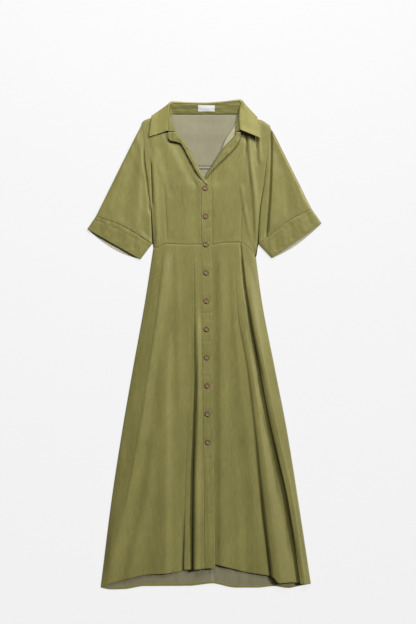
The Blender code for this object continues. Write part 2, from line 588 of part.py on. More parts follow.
def cuff_grids(sleeve, rows, share_top, share_bottom):
    """The top and bottom layers of a cuff from its seam to its open edge."""
    made = []
    for share, is_top in ((share_top, True), (share_bottom, False)):
        grid = np.zeros((rows, len(share), 3))
        seam_x = blend(sleeve.seam_outer.x, sleeve.seam_inner.x, share)
        seam_y = blend(sleeve.seam_outer.y, sleeve.seam_inner.y, share)
        seam_y = seam_y + sleeve.seam_rise * np.sin(math.pi * share) - CUFF_SEAM
        edge_x = blend(sleeve.edge_outer.x, sleeve.edge_inner.x, share)
        edge_y = blend(sleeve.edge_outer.y, sleeve.edge_inner.y, share)
        if not is_top:
            edge_y = edge_y - sleeve.back_drop * np.sin(math.pi * share)
        for i, v in enumerate(np.linspace(0, 1, rows)):
            x = blend(seam_x, edge_x, v)
            y = blend(seam_y, edge_y, v)
            z = np.full(len(share), BACK_Z)
            if is_top:
                full = blend(CUFF_DIP_Z, CUFF_Z, v)
                edge = rounded(np.minimum(share, 1 - share) * 140 + 1.5, 9.0)
                z = 3.4 + (full - 3.4) * edge
            grid[i] = np.stack([x, y, z], axis=-1)
        made.append(grid)
    return made


def build_sleeves(olive):
    """Both sleeves and their cuffs, as flattened tubes open at both ends."""
    share_top = np.array([0.012, 0.04, 0.1, 0.22, 0.36, 0.5, 0.64, 0.78, 0.9, 0.96, 0.988])
    share_bottom = np.array([0.012, 0.2, 0.4, 0.6, 0.8, 0.988])
    for sleeve in SLEEVES:
        top, bottom = sleeve_grids(sleeve, 9, share_top, share_bottom)
        tube(f"sleeve_{sleeve.name}", top, bottom, olive)
        top, bottom = cuff_grids(sleeve, 3, share_top, share_bottom)
        tube(f"cuff_{sleeve.name}", top, bottom, olive)


def build_collar(olive):
    """The stand round the neck, and the fall that rolls over it."""
    neck, top = table_points(STAND, "neck"), table_points(STAND, "top")
    shares = np.linspace(0, 1, 4)
    stand = np.stack([blend(neck, top, t) for t in shares], axis=1)
    cloth("collar_stand", stand, olive)

    seam = table_points(FALL, "seam")
    crest = table_points(FALL, "crest")
    outer = table_points(FALL, "outer")
    near = blend(crest, outer, 0.18)
    near[:, 2] = blend(crest[:, 2], outer[:, 2], 0.75)
    middle = blend(crest, outer, 0.55)
    middle[:, 2] = blend(crest[:, 2], outer[:, 2], 0.92)
    fall = np.stack([seam, crest, near, middle, outer], axis=1)
    cloth("collar_fall", fall, olive)
    return stand


def build_label(stand, white):
    """The label lies on the stand: its points are the stand's, moved up."""
    xs = LABEL_CENTRE.x + np.linspace(-0.5, 0.5, 5) * LABEL_WIDTH
    ys = LABEL_CENTRE.y + np.linspace(-0.5, 0.5, 3) * LABEL_HEIGHT
    grid = np.zeros((3, 5, 3))
    row_x = stand[:, 0, 0]
    top_y = curve(row_x[4:11], stand[4:11, -1, 1], xs)
    top_z = curve(row_x[4:11], stand[4:11, -1, 2], xs)
    low_y, low_z = stand[7, 0, 1], stand[7, 0, 2]
    for i, y in enumerate(ys):
        on_stand = low_z + (top_z - low_z) * (y - low_y) / (top_y - low_y)
        grid[i] = np.stack([xs, np.full(5, y), on_stand + CLOTH + SEAM + 0.05], axis=-1)
    cloth("neck_label", grid, white)


def build_buttons(horn):
    """Ten turned discs with a raised rim and a dished middle, down the middle of the band."""
    radius = BUTTON_DIAMETER / 2
    profile = np.array([  # radius and height of the turned outline, from the top's middle down
        (0, 0.62), (0.6, 0.62), (0.78, 1.0), (1.0, 0.6), (0.8, 0.0), (0, 0.0),
    ]) * [radius, BUTTON_THICKNESS]
    sides = 12
    turn = np.arange(sides) * 2 * math.pi / sides
    for number in range(BUTTON_COUNT):
        y = FIRST_BUTTON_Y - number * BUTTON_PITCH
        x = (band("left", y) + band("right", y)) / 2 - 1.2
        z = band("z_over", y) + CLOTH / 2 + SEAM
        points = [(0, 0, profile[0, 1])]
        for r, h in profile[1:-1]:
            points += [(r * math.cos(a), r * math.sin(a), h) for a in turn]
        points.append((0, 0, profile[-1, 1]))
        faces = []
        for i in range(sides):
            j = (i + 1) % sides
            faces.append((0, 1 + i, 1 + j))
            for ring in range(len(profile) - 3):
                a, b = 1 + ring * sides, 1 + (ring + 1) * sides
                faces.append((a + i, b + i, b + j, a + j))
            last = 1 + (len(profile) - 3) * sides
            faces.append((len(points) - 1, last + j, last + i))
        name = f"button_{number + 1:02d}"
        mesh = bpy.data.meshes.new(name)
        mesh.from_pydata([tuple(c * MM for c in p) for p in points], [], faces)
        mesh.materials.append(horn)
        mesh.shade_smooth()
        button = bpy.data.objects.new(name, mesh)
        button.location = (x * MM, y * MM, z * MM)
        bpy.context.scene.collection.objects.link(button)


def main():
    """Clears the scene and builds the dress."""
    for old in list(bpy.data.objects):
        bpy.data.objects.remove(old, do_unlink=True)
    olive = material("satin_olive", OLIVE, 0.5)
    white = material("label_white", WHITE, 0.8)
    horn = material("button_horn", HORN, 0.3)
    build_backs(olive)
    build_fronts(olive)
    build_bands(olive)
    build_sleeves(olive)
    stand = build_collar(olive)
    build_label(stand, white)
    build_buttons(horn)


main()
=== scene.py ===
"""The looks of a satin shirt dress laid flat, front up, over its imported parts.

Sizes in the tables are in millimetres: x across the dress to the wearer's left, y from hem to
collar, z up from the ground. "Right" and "left" are the wearer's.
"""

import math
from collections import namedtuple

import bpy
import numpy as np
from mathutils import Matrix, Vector


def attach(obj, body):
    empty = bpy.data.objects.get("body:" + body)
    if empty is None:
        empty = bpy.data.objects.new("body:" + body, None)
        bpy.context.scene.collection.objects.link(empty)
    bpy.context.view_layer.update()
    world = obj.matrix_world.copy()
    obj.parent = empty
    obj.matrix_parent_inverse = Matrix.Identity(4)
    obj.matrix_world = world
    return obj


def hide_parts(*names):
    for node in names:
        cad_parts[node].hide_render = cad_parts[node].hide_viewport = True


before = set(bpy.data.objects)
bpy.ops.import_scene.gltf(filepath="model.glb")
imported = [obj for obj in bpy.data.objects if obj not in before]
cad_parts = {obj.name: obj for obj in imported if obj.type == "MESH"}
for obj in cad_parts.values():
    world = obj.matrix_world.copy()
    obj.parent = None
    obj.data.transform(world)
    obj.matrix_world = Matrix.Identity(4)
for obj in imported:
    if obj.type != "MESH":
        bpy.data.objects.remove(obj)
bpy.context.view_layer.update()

# ---- Back yoke -----------------------------------------------------------------------------------
# The shoulder piece of the back. It lies on the ground with its wrong side up, which shows inside
# the open neck. It is cut from the same satin as the rest, and sewn to the back below it.
MM = 0.001
CLOTH = 0.8  # thickness of the satin as it lies, with its own small ripples
BACK_Z = 0.6  # height of the cloth on the ground
NECK_LIFT = 1.8  # rise of the yoke over the collar folded under it
YOKE_SEAM_Y = 483.5
BACK_NECK_Y = 620.8
Edge = namedtuple("Edge", "y x")
RIGHT_SIDE = [  # armhole from the shoulder down, then the side down to the waist
    Edge(595, -169.5), Edge(552, -162.5), Edge(504, -160.0), Edge(439, -151.5),
    Edge(408, -149.0), Edge(366, -143.0), Edge(305, -139.5), Edge(262, -138.0),
]
LEFT_SIDE = [
    Edge(590, 177.5), Edge(552, 175.0), Edge(520, 171.5), Edge(484, 167.5), Edge(437, 161.5),
    Edge(387, 154.0), Edge(325, 148.5), Edge(276, 145.5), Edge(243, 141.5), Edge(232, 138.5),
]
Point = namedtuple("Point", "x y")
RIGHT_SHOULDER = [Point(-169.5, 595), Point(-163.5, 603.5), Point(-141, 612.5), Point(-92, 641.5)]
LEFT_SHOULDER = [Point(177.5, 590), Point(156, 605), Point(138, 609.5), Point(100, 645)]
SATIN_OLIVE = (0.145, 0.131, 0.038)
SATIN_GOLD = (0.240, 0.218, 0.069)
SATIN_GLOSS = (0.88, 0.85, 0.6)
SHEEN_TINT = (0.95, 0.93, 0.7)


class Wire:
    """A socket's value in a finish. Arithmetic on it adds the Math node that works it out."""

    def __init__(self, finish, socket):
        self.finish, self.socket = finish, socket

    def maths(self, operation, *values):
        """The wire of a new Math node that works on the values."""
        return self.finish.node("ShaderNodeMath", {"operation": operation}, dict(enumerate(values)))

    def __add__(self, other):
        return self.maths("ADD", self, other)

    def __sub__(self, other):
        return self.maths("SUBTRACT", self, other)

    def __rsub__(self, other):
        return self.maths("SUBTRACT", other, self)

    def __mul__(self, other):
        return self.maths("MULTIPLY", self, other)

    __radd__, __rmul__ = __add__, __mul__


class Finish:
    """A material with one Principled shader: plain settings, and the nodes that feed it."""

    def __init__(self, name, **settings):
        self.material = bpy.data.materials.new(name)
        self.material.use_nodes = True
        self.tree = self.material.node_tree
        self.shader = self.tree.nodes["Principled BSDF"]
        self.feed(self.shader, {k.replace("_", " "): v for k, v in settings.items()})

    def feed(self, node, values):
        """Links each wire to its socket, and sets each plain value on it."""
        for key, value in values.items():
            if isinstance(value, Wire):
                self.tree.links.new(value.socket, node.inputs[key])
            else:
                node.inputs[key].default_value = value

    def node(self, kind, settings=None, values=None, output=0):
        """Adds a node, sets it, then feeds its sockets, and gives the wire of one output."""
        made = self.tree.nodes.new(kind)
        for key, value in (settings or {}).items():
            if key == "stops":
                ramp = made.color_ramp.elements
                while len(ramp) < len(value):
                    ramp.new(0.5)
                for stop, (place, colour) in zip(ramp, value):
                    stop.position, stop.color = place, (*colour, 1)
            else:
                setattr(made, key, value)
        self.feed(made, values or {})
        return Wire(self, made.outputs[output])

    def mix(self, first, second, share, way="MIX"):
        """A colour share of the way from first to second."""
        first, second = ((*c, 1) if isinstance(c, tuple) else c for c in (first, second))
        return self.node("ShaderNodeMix", {"data_type": "RGBA", "blend_type": way},
                         {0: share, 6: first, 7: second}, 2)

    def noise(self, place, stretch, detail=2.0, roughness=0.5):
        """Noise from 0 to 1 over a place that is stretched first, so that it makes streaks."""
        stretched = self.node("ShaderNodeVectorMath", {"operation": "MULTIPLY"},
                              {0: place, 1: stretch})
        return self.node("ShaderNodeTexNoise", None, {
            "Vector": stretched, "Scale": 1.0, "Detail": detail, "Roughness": roughness})


THREAD_NOISE, SLUB_NOISE = (2400.0, 90.0, 1.0), (520.0, 38.0, 1.0)  # noise for each metre
PICK_NOISE, SLOW_NOISE = (60.0, 1800.0, 1.0), (11.0, 7.0, 1.0)
# Painted shade: deep in a fold the colour goes towards this share of the dull colour, with this
# weight.
PAINTED_SHADE_COLOUR, PAINTED_SHADE_WEIGHT = 0.06, 0.95  # share of the dull colour deep in a fold, and its weight
CONTRAST, OFFSET = 3.2, -1.1  # stretch the noise's narrow middle range over dull to bright


def woven(name, dull, bright, roughness=0.82, gloss=0.3, sheen=0.1, slub_depth=0.3,
          gloss_colour=(1, 1, 1)):
    """Woven cloth: threads run down the piece's own UV map, which is in metres of cloth.

    Threads and slubs are noise stretched 27 and 14 times along the cloth, and the colour goes
    from dull to bright with them and with a slow change over the panel. Deep in a fold, and where
    the piece's shade says it lies in the dark, a painted shade darkens it."""
    cloth = Finish(name, Specular_IOR_Level=gloss, Sheen_Weight=sheen, Sheen_Roughness=0.45,
                   Sheen_Tint=(*SHEEN_TINT, 1), Specular_Tint=(*gloss_colour, 1))
    place = cloth.node("ShaderNodeUVMap", {"uv_map": "weave"})
    threads, slubs, picks, slow = (cloth.noise(place, *kind) for kind in (
        (THREAD_NOISE, 2.0, 0.6), (SLUB_NOISE, 2.0, 0.6), (PICK_NOISE, 1.0), (SLOW_NOISE, 2.0)))
    share = threads * 0.3 + slubs * 0.4 + slow * 0.3
    # The piece's attribute tells how much painted shade each point gets.
    hollow = cloth.node("ShaderNodeAttribute", {"attribute_name": "hollow"}, output="Fac")
    colour = cloth.mix(dull, bright, share.maths("MULTIPLY_ADD", share, CONTRAST, OFFSET))
    cloth.feed(cloth.shader, {
        "Base Color": cloth.mix(colour, tuple(PAINTED_SHADE_COLOUR * part for part in dull),
                                hollow * PAINTED_SHADE_WEIGHT),
        "Roughness": roughness + (0.5 - slubs) * 0.12,
        "Normal": cloth.node("ShaderNodeBump", None, {
            "Strength": 0.55, "Distance": slub_depth * MM,
            "Height": threads * 0.5 + slubs * 0.3 + picks * 0.2}),
    })
    return cloth.material


satin = woven("olive_satin", SATIN_OLIVE, SATIN_GOLD, 0.46, 0.5, 0.08, 0.35, SATIN_GLOSS)
wrong_side = woven("satin_wrong_side", (0.215, 0.2, 0.125), (0.28, 0.262, 0.17))


def column(table, name):
    """One named column of a table, as an array."""
    return np.array([getattr(row, name) for row in table], float)


def curve(knots, values, at):
    """Smooth values at the stations in at, through one value or array of values for each knot.

    Each stretch is a cubic. Its slope at a knot is the harmonic mean of the straight slopes on
    the two sides, and none at a peak, so that it never passes beyond the knots."""
    order = np.argsort(knots)
    knots, values = np.asarray(knots, float)[order], np.asarray(values, float)[order]
    more = (1,) * (values.ndim - 1)
    step = np.diff(knots)
    rise = np.diff(values, axis=0) / step.reshape(-1, *more)
    before, after = rise[:-1], rise[1:]
    same = before * after > 0
    slope = np.concatenate([
        rise[:1], np.where(same, 2 * before * after / np.where(same, before + after, 1), 0),
        rise[-1:]])
    at = np.clip(np.asarray(at, float), knots[0], knots[-1])
    i = np.clip(np.searchsorted(knots, at, side="right") - 1, 0, len(step) - 1)
    t = ((at - knots[i]) / step[i]).reshape((*at.shape, *more))
    width = step[i].reshape((*at.shape, *more))
    return ((1 + 2 * t) * (1 - t) ** 2 * values[i] + t * (1 - t) ** 2 * width * slope[i]
            + t * t * (3 - 2 * t) * values[i + 1] - t * t * (1 - t) * width * slope[i + 1])


def smooth(t):
    """Eases from 0 to 1: three times the square less twice the cube."""
    t = np.clip(t, 0, 1)
    return t * t * (3 - 2 * t)


def blend(a, b, t):
    """The value t of the way from a to b."""
    return a * (1 - t) + b * t


LATTICE = 97  # the lattice repeats after this many squares


def crumple(x, y, across, along, seed):
    """Uneven cloth from -1 to 1: random heights on a lattice of across by along millimetres,
    eased into each other along both."""
    lattice = np.random.default_rng(seed).uniform(-1, 1, (LATTICE, LATTICE))
    i, j = np.floor(x / across).astype(int), np.floor(y / along).astype(int)
    s, t = smooth(x / across - i), smooth(y / along - j)
    height = lambda a, b: lattice[(i + a) % LATTICE, (j + b) % LATTICE]
    return blend(blend(height(0, 0), height(1, 0), s), blend(height(0, 1), height(1, 1), s), t)


Fold = namedtuple("Fold", "height left right path")
FOLD_FADE = 0.14  # share of a fold's length in which it fades at each end


def creases(folds, x, y):
    """Height of soft ridges and troughs. Each is its height times a bell of the distance from its
    path, with its own width left and right of a path that runs down, and fades at both ends."""
    total = np.zeros(np.shape(x))
    for fold in folds:
        path = np.array(fold.path, float)
        runs = np.diff(path, axis=0)
        lengths = np.hypot(*runs.T)
        whole = lengths.sum()
        near = np.full(np.shape(x), 1e9)
        side, along = np.zeros(np.shape(x)), np.zeros(np.shape(x))
        for start, run, length, done in zip(path, runs, lengths, np.cumsum(lengths) - lengths):
            t = np.clip(((x - start[0]) * run[0] + (y - start[1]) * run[1]) / length**2, 0, 1)
            off_x, off_y = x - start[0] - t * run[0], y - start[1] - t * run[1]
            away = np.hypot(off_x, off_y)
            nearer = away < near
            near = np.where(nearer, away, near)
            side = np.where(nearer, run[0] * off_y - run[1] * off_x, side)
            along = np.where(nearer, done + t * length, along)
        width = np.where(side > 0, fold.right, fold.left)
        ends = smooth(along / whole / FOLD_FADE) * smooth((1 - along / whole) / FOLD_FADE)
        total += fold.height * np.exp(-((near / width) ** 2)) * ends
    return total


def shape(name, points, faces, *finishes, slot=None):
    """A smooth-shaded object of points in millimetres. With a slot it is a piece of the dress."""
    mesh = bpy.data.meshes.new(name)
    mesh.from_pydata((np.reshape(points, (-1, 3)) * MM).tolist(), [], faces)
    for finish in finishes:
        mesh.materials.append(finish)
    mesh.shade_smooth()
    piece = bpy.data.objects.new(name, mesh)
    bpy.context.scene.collection.objects.link(piece)
    if slot:
        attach(piece, "root")
    return piece


def run(points, axis=0):
    """Length of cloth from the first point to each point, along a grid's columns or rows."""
    steps = np.linalg.norm(np.diff(points, axis=axis), axis=-1)
    return np.insert(np.cumsum(steps, axis=axis), 0, 0, axis=axis)


def grid_of(x, y, z):
    """A grid of points from its x, y and z, which are spread over each other's rows and columns."""
    return np.stack(np.broadcast_arrays(x, y, z), axis=-1)


def sew(name, middle, faces_up, faces_down, slot="cloth", tube=False, thickness=CLOTH, shade=0):
    """Cloth round a grid of points, rows down and columns across, closed across if a tube.

    The UV map holds metres of cloth: across is the length along each row from its first point,
    and down is the length along each column. shade is 1 where it lies in the dark under an edge;
    it and the depth in a fold are kept in an attribute that paints shade into the colour."""
    closed = lambda grid: np.concatenate([grid, grid[:, :1]], axis=1) if tube else grid
    corners = lambda grid: np.stack(
        [grid[:-1, :-1], grid[1:, :-1], grid[1:, 1:], grid[:-1, 1:]], axis=2)
    points = closed(middle)
    across, down = run(points, 1), run(points, 0)
    faces = corners(closed(np.arange(middle[..., 0].size).reshape(middle.shape[:2])))
    piece = shape(name, middle, faces.reshape(-1, 4).tolist(), faces_up, faces_down, slot=slot)
    weave = piece.data.uv_layers.new(name="weave")
    weave.data.foreach_set("uv", corners(np.stack([across, down], axis=-1) * MM).reshape(-1))
    hollow = piece.data.attributes.new("hollow", "FLOAT", "POINT")
    hollow.data.foreach_set("value", np.maximum(hollows(middle, tube), shade).reshape(-1))
    wall = piece.modifiers.new("wall", "SOLIDIFY")
    wall.thickness, wall.offset, wall.material_offset = thickness * MM, 0, 1
    piece.modifiers.new("flat_edges", "WEIGHTED_NORMAL").weight = 100
    area_of(points) * MM**2
    return piece


HOLLOW_REACH, HOLLOW_START, HOLLOW_DEPTH = 9.0, 0.5, 2.6


# The depth in a fold sets how much painted shade the cloth's colour gets there.
def hollows(middle, tube):
    """How deep in a fold each point lies, from 0 to 1: how far its height is below the mean of
    its row within HOLLOW_REACH, less HOLLOW_START, as a share of HOLLOW_DEPTH."""
    step = float(np.linalg.norm(np.diff(middle, axis=1), axis=2).mean())
    reach = int(np.clip(round(HOLLOW_REACH / step), 1, middle.shape[1] // 2))
    padded = np.pad(middle[..., 2], ((0, 0), (reach, reach)), mode="wrap" if tube else "edge")
    mean = np.lib.stride_tricks.sliding_window_view(padded, 2 * reach + 1, axis=1).mean(axis=2)
    return smooth((mean - middle[..., 2] - HOLLOW_START) / HOLLOW_DEPTH)


def area_of(points):
    """Area of a grid: half the length of the cross product of each square's two diagonals."""
    crossed = np.cross(points[1:, 1:] - points[:-1, :-1], points[1:, :-1] - points[:-1, 1:])
    return float(np.linalg.norm(crossed, axis=2).sum() / 2)


def lay(piece, *nodes, on=("the ground",), with_pieces=()):
    """Hides the CAD nodes that a piece of cloth takes the place of."""
    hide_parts(*nodes)


def side_x(side, y):
    """The x of a side outline at each y."""
    return curve(column(side, "y"), column(side, "x"), y)


DARK_WIDTH, DARK_FADE = 9, 4


def under_sides(x, y):
    """1 near the two sides, where the back lies in the dark below the armholes' edges."""
    inside = np.minimum(x - side_x(RIGHT_SIDE, y), side_x(LEFT_SIDE, y) - x)
    return 1 - smooth((inside - DARK_WIDTH) / DARK_FADE)


YOKE_FOLDS = [
    Fold(0.5, 14, 14, [(-40, 610), (-30, 500)]), Fold(-0.45, 10, 16, [(8, 615), (0, 490)]),
    Fold(0.5, 16, 10, [(46, 606), (30, 500)]), Fold(-0.5, 9, 9, [(-60, 600), (60, 592)]),
]
SIDE_REACH = 0.28  # how far the yoke goes past each side line, under the sleeve
SEAM_TURN = 0.3  # half the gap at the yoke's seam
LIFT_Y, LIFT_LENGTH, LIFT_HALF, LIFT_FADE = 540, 32, 167, 12  # where the folded collar lifts it
YOKE_RIPPLE_Z, YOKE_CRUMPLE = 0.35, 0.25
outline = [*RIGHT_SHOULDER, Point(-82, BACK_NECK_Y), Point(-40, BACK_NECK_Y),
           Point(40, BACK_NECK_Y), Point(88, BACK_NECK_Y), *reversed(LEFT_SHOULDER)]
across, down = np.linspace(0, 1, 121), np.linspace(0, 1, 61)[:, None]
top_x, top_y = (np.interp(across * (len(outline) - 1), range(len(outline)), column(outline, name))
                for name in "xy")
seam_ends = side_x(RIGHT_SIDE, YOKE_SEAM_Y), side_x(LEFT_SIDE, YOKE_SEAM_Y)
y = blend(top_y - 2 * SEAM_TURN, YOKE_SEAM_Y + SEAM_TURN, down)
x = blend(top_x, blend(*seam_ends, across), down)
x = x + (side_x(RIGHT_SIDE, y[:, :1]) - SIDE_REACH - x[:, :1]) * (1 - across) ** 8
x = x + (side_x(LEFT_SIDE, y[:, -1:]) + SIDE_REACH - x[:, -1:]) * across**8
lift = smooth((y - LIFT_Y) / LIFT_LENGTH) * smooth((LIFT_HALF - np.abs(x)) / LIFT_FADE)
soft = creases(YOKE_FOLDS, x, y) + YOKE_CRUMPLE * crumple(x, y, 26, 60, 1)
z = BACK_Z + NECK_LIFT * lift
z += YOKE_RIPPLE_Z + soft * smooth((y - YOKE_SEAM_Y - 0.5) / 20)
yoke = sew("back_yoke_cloth", grid_of(x, y, z), wrong_side, satin, shade=under_sides(x, y))
lay(yoke, "back_yoke")

# ---- Back bodice ---------------------------------------------------------------------------------
# The back below the yoke, on the ground with its wrong side up. The yoke seam's turned-down edge
# shows as a narrow strip inside the neck, closed by two rows of near-black stitches that are both
# thread and painted shade along the seam.
BACK_WAIST = [Point(-137, 262), Point(139, 234)]
SEAM_ALLOWANCE = 8.5
STITCH_PITCH = 3.0
STITCH_LENGTH = 2.3
STITCH_RADIUS = 0.22
ARMHOLE_FOOT_Y = 382.0
LEAST_REACH = 0.45  # the back goes at least this far past its side line
RIGHT_SLEEVE_END, LEFT_SLEEVE_END = Point(-141, 272), Point(146.8, 270)


def under_arm(side, end, y):
    """Width of the back that shows in the dark beyond a side: up to the sleeve's inner edge, a
    straight line from the foot of the armhole to the cuff, and none below the cuff."""
    share = np.clip((ARMHOLE_FOOT_Y - y) / (ARMHOLE_FOOT_Y - end.y), 0, 1)
    edge = blend(np.abs(side_x(side, ARMHOLE_FOOT_Y)) + 0.8, abs(end.x), share)
    reach = np.maximum(edge - np.abs(side_x(side, y)) - 0.1, LEAST_REACH)
    return reach * smooth((y - end.y + 6) / 8)


def back_waist_y(x):
    """The y of the back's waist seam: a straight line from side to side."""
    start, stop = BACK_WAIST
    return start.y + (x - start.x) * (stop.y - start.y) / (stop.x - start.x)


across, down = np.linspace(0, 1, 81), np.linspace(0, 1, 41)[:, None]
end_x = blend(BACK_WAIST[0].x, BACK_WAIST[1].x, across)
y = blend(YOKE_SEAM_Y - 0.2, back_waist_y(end_x) + 0.2, down)
x = blend(side_x(RIGHT_SIDE, y) - under_arm(RIGHT_SIDE, RIGHT_SLEEVE_END, y),
          side_x(LEFT_SIDE, y) + under_arm(LEFT_SIDE, LEFT_SLEEVE_END, y), across)
z = BACK_Z + 0.15 * crumple(x, y, 24, 70, 2) ** 2
back = sew("back_bodice_cloth", grid_of(x, y, z), wrong_side, satin, shade=under_sides(x, y))


def stitches(points, normals, pitch=STITCH_PITCH, length=STITCH_LENGTH, radius=STITCH_RADIUS):
    """Stitches along a line: the four five-sided rings of each.

    Each rises out of the cloth and dives back, its middle line a half sine of the radius, and
    thins to half at its ends."""
    runs = run(points)
    count = max(int(runs[-1] // pitch), 1)
    starts = np.arange(count) * pitch + (runs[-1] - count * pitch + pitch - length) / 2
    share = np.array([0.0, 0.25, 0.75, 1.0])
    stations = starts[:, None] + share * length
    at = lambda values: np.stack(
        [np.interp(stations, runs, values[:, k]) for k in range(3)], axis=-1)
    middle, up = at(points), at(normals)
    up /= np.linalg.norm(up, axis=2, keepdims=True)
    middle += up * (radius * (1.3 * np.sin(math.pi * share) - 0.5))[:, None]
    ahead = middle[:, -1:] - middle[:, :1]
    ahead /= np.linalg.norm(ahead, axis=2, keepdims=True)
    aside = np.cross(ahead, up)
    angles = np.arange(5) * math.tau / 5
    girth = (radius * np.array([0.5, 1.0, 1.0, 0.5]))[:, None, None]
    return middle[:, :, None] + girth * (
        np.cos(angles)[:, None] * aside[:, :, None] + np.sin(angles)[:, None] * up[:, :, None])


def thread(name, rows, finish):
    """One piece of all the stitches in some rows: five walls between rings, closed at the ends."""
    rings = np.concatenate(rows)
    ring, step = np.meshgrid(np.arange(3), np.arange(5), indexing="ij")
    turn = (step + 1) % 5
    walls = np.stack([ring * 5 + step, ring * 5 + turn, (ring + 1) * 5 + turn,
                      (ring + 1) * 5 + step], axis=-1).reshape(-1, 4)
    first = np.arange(len(rings))[:, None] * 20
    faces = (first[:, None] + walls).reshape(-1, 4).tolist()
    faces += (first + np.arange(4, -1, -1)).tolist() + (first + np.arange(15, 20)).tolist()
    return shape(name, rings, faces, finish, slot="cloth")


def spun(name, colour):
    """Sewing thread: a colour that darkens and lightens along it, with a soft gloss."""
    cotton = Finish(name, Sheen_Weight=0.2)
    place = cotton.node("ShaderNodeTexCoord", output="Object")
    twist = cotton.noise(place, (2600.0, 2600.0, 2600.0))
    cotton.feed(cotton.shader, {
        "Base Color": cotton.mix(tuple(c * 0.75 for c in colour), colour, twist),
        "Roughness": 0.5 + twist * 0.2})
    return cotton.material


olive_thread = spun("olive_thread", (0.25, 0.235, 0.085))


def face_normals(grid):
    """The upward normal at each point of a grid: the cross product of its two directions."""
    normals = np.cross(np.gradient(grid, axis=1), np.gradient(grid, axis=0)) * -1
    return normals / np.linalg.norm(normals, axis=2, keepdims=True)


def along_grid(grid, row, col, out=CLOTH / 2):
    """Points on the upper face of a grid at fractional rows and columns, and their normals."""
    i = np.clip(np.floor(row).astype(int), 0, grid.shape[0] - 2)
    j = np.clip(np.floor(col).astype(int), 0, grid.shape[1] - 2)
    s, t = (row - i)[:, None], (col - j)[:, None]
    read = lambda g: blend(
        blend(g[i, j], g[i + 1, j], s), blend(g[i, j + 1], g[i + 1, j + 1], s), t)
    up = read(face_normals(grid))
    return read(grid) + up * out, up


def sewn_across(grid, rows, first, last, count, out=CLOTH / 2, **size):
    """Stitches along rows of a grid, counted from 0, from its column first to its column last."""
    steps = np.linspace(first, last, count)
    return [stitches(*along_grid(grid, 0 * steps + row, steps, out), **size) for row in rows]


def sewn_down(grid, columns, first, last, count, out=CLOTH / 2, **size):
    """Stitches along columns of a grid, counted from 0, from its row first to its row last."""
    steps = np.linspace(first, last, count)
    return [stitches(*along_grid(grid, steps, 0 * steps + at, out), **size) for at in columns]


ALLOWANCE_ENDS, ALLOWANCE_Z, ALLOWANCE_CURL = (-150, 158), 0.9, 1.2
turned = np.linspace(0, 1, 9)[:, None]
x, y = np.linspace(*ALLOWANCE_ENDS, 100), YOKE_SEAM_Y - 2 * SEAM_TURN - turned * SEAM_ALLOWANCE
z = BACK_Z + ALLOWANCE_Z + 0.25 * crumple(x, y, 14, 40, 3) + ALLOWANCE_CURL * turned**2
allowance_grid = grid_of(x, y, z)
allowance = sew("yoke_seam_edge", allowance_grid, wrong_side, satin, thickness=0.6)
# Near-black, thick thread: real overlock stitches, and painted shade along the yoke seam.
seam_shade_thread = spun("seam_shade_thread", (0.045, 0.042, 0.02))
allowance_row = thread("yoke_seam_shade_stitches", [
    row for at, radius in ((0.5, 1.1), (7.4, 0.6)) for row in sewn_across(
        allowance_grid, [at], 0, 98.9, 300, 0.3, pitch=2.6, length=2.5, radius=radius)],
    seam_shade_thread)
lay(back, "back_bodice", with_pieces=[allowance, allowance_row])

# ---- Back skirts ---------------------------------------------------------------------------------
# Two flared panels, sewn to each other down the centre back. They lie wrong side up on the ground.
# The hem is turned up twice, so that a strip of the satin's right side shows inside the skirt.
SEAM = 0.3  # gap between two pieces sewn edge to edge
X_LEVELS = (262, 120, -69, -231, -420, -650)  # the y of the six x columns of a skirt line
RIGHT_SIDE_LINE = (-137, -159, -193, -221, -250, -279)
LEFT_SIDE_LINE = (135.5, 154.5, 191, 222.5, 253, 288)
CENTRE_BACK = [Edge(276, 6), Edge(-650, 25.5)]
BACK_HEM = [
    Point(-279, -655), Point(-253, -660), Point(-215, -659), Point(-163, -651), Point(-40, -650),
    Point(24, -643.5), Point(28, -644), Point(85, -655), Point(143, -655), Point(188, -651),
    Point(226, -656), Point(257, -650), Point(286, -645),
]
HEM_DEPTH = 5.6
RIPPLE_MEAN, RIPPLE_SWING, RIPPLE_TOP_Y, RIPPLE_LENGTH = 0.5, 0.7, -500, 90  # only by the hem
HEM_ROUND, HEM_LAY_Z, HEM_END_Z = 0.75, 1.32, 1.15


def back_panel(side_line, waist_end, sign):
    """A back panel from its side to the centre seam: straight across, and down its two edges."""
    across, down = np.linspace(0, 1, 61), np.linspace(0, 1, 91)[:, None] ** 0.9
    waist_x = blend(waist_end, CENTRE_BACK[0].x, across)
    hem_x = blend(side_line[-1], CENTRE_BACK[-1].x, across)
    hem_y = curve(column(BACK_HEM, "x"), column(BACK_HEM, "y"), hem_x)
    y = blend(back_waist_y(waist_x) - 0.15, hem_y, down)
    x = blend(curve(X_LEVELS, side_line, y), side_x(CENTRE_BACK, y) + sign * SEAM / 2, across)
    ripple = np.maximum(RIPPLE_MEAN + crumple(x, y, 17, 120, 5) * RIPPLE_SWING, 0)
    inside = smooth(np.abs(x - curve(X_LEVELS, side_line, y)) / 15)
    low = smooth((RIPPLE_TOP_Y - y) / RIPPLE_LENGTH)
    return grid_of(x, y, BACK_Z + ripple * inside * low)


def turned_up(name, edge, depth, faces_up, faces_down):
    """A hem along an edge: it goes round the edge in a half circle, then lies on the cloth."""
    around = np.linspace(-math.pi / 2, math.pi / 2, 7)
    out = np.concatenate([-0.55 * np.cos(around), np.linspace(0.6, depth, 6)])
    rise = np.concatenate([0.65 + HEM_ROUND * np.sin(around), np.linspace(HEM_LAY_Z, HEM_END_Z, 6)])
    grid = edge[None] + np.stack([0 * out, out, rise], axis=-1)[:, None]
    grid[..., 2] += 0.12 * crumple(grid[..., 0], grid[..., 1], 9, 9, 6)
    return sew(name, grid[::-1], faces_up, faces_down, thickness=0.45), grid[::-1]
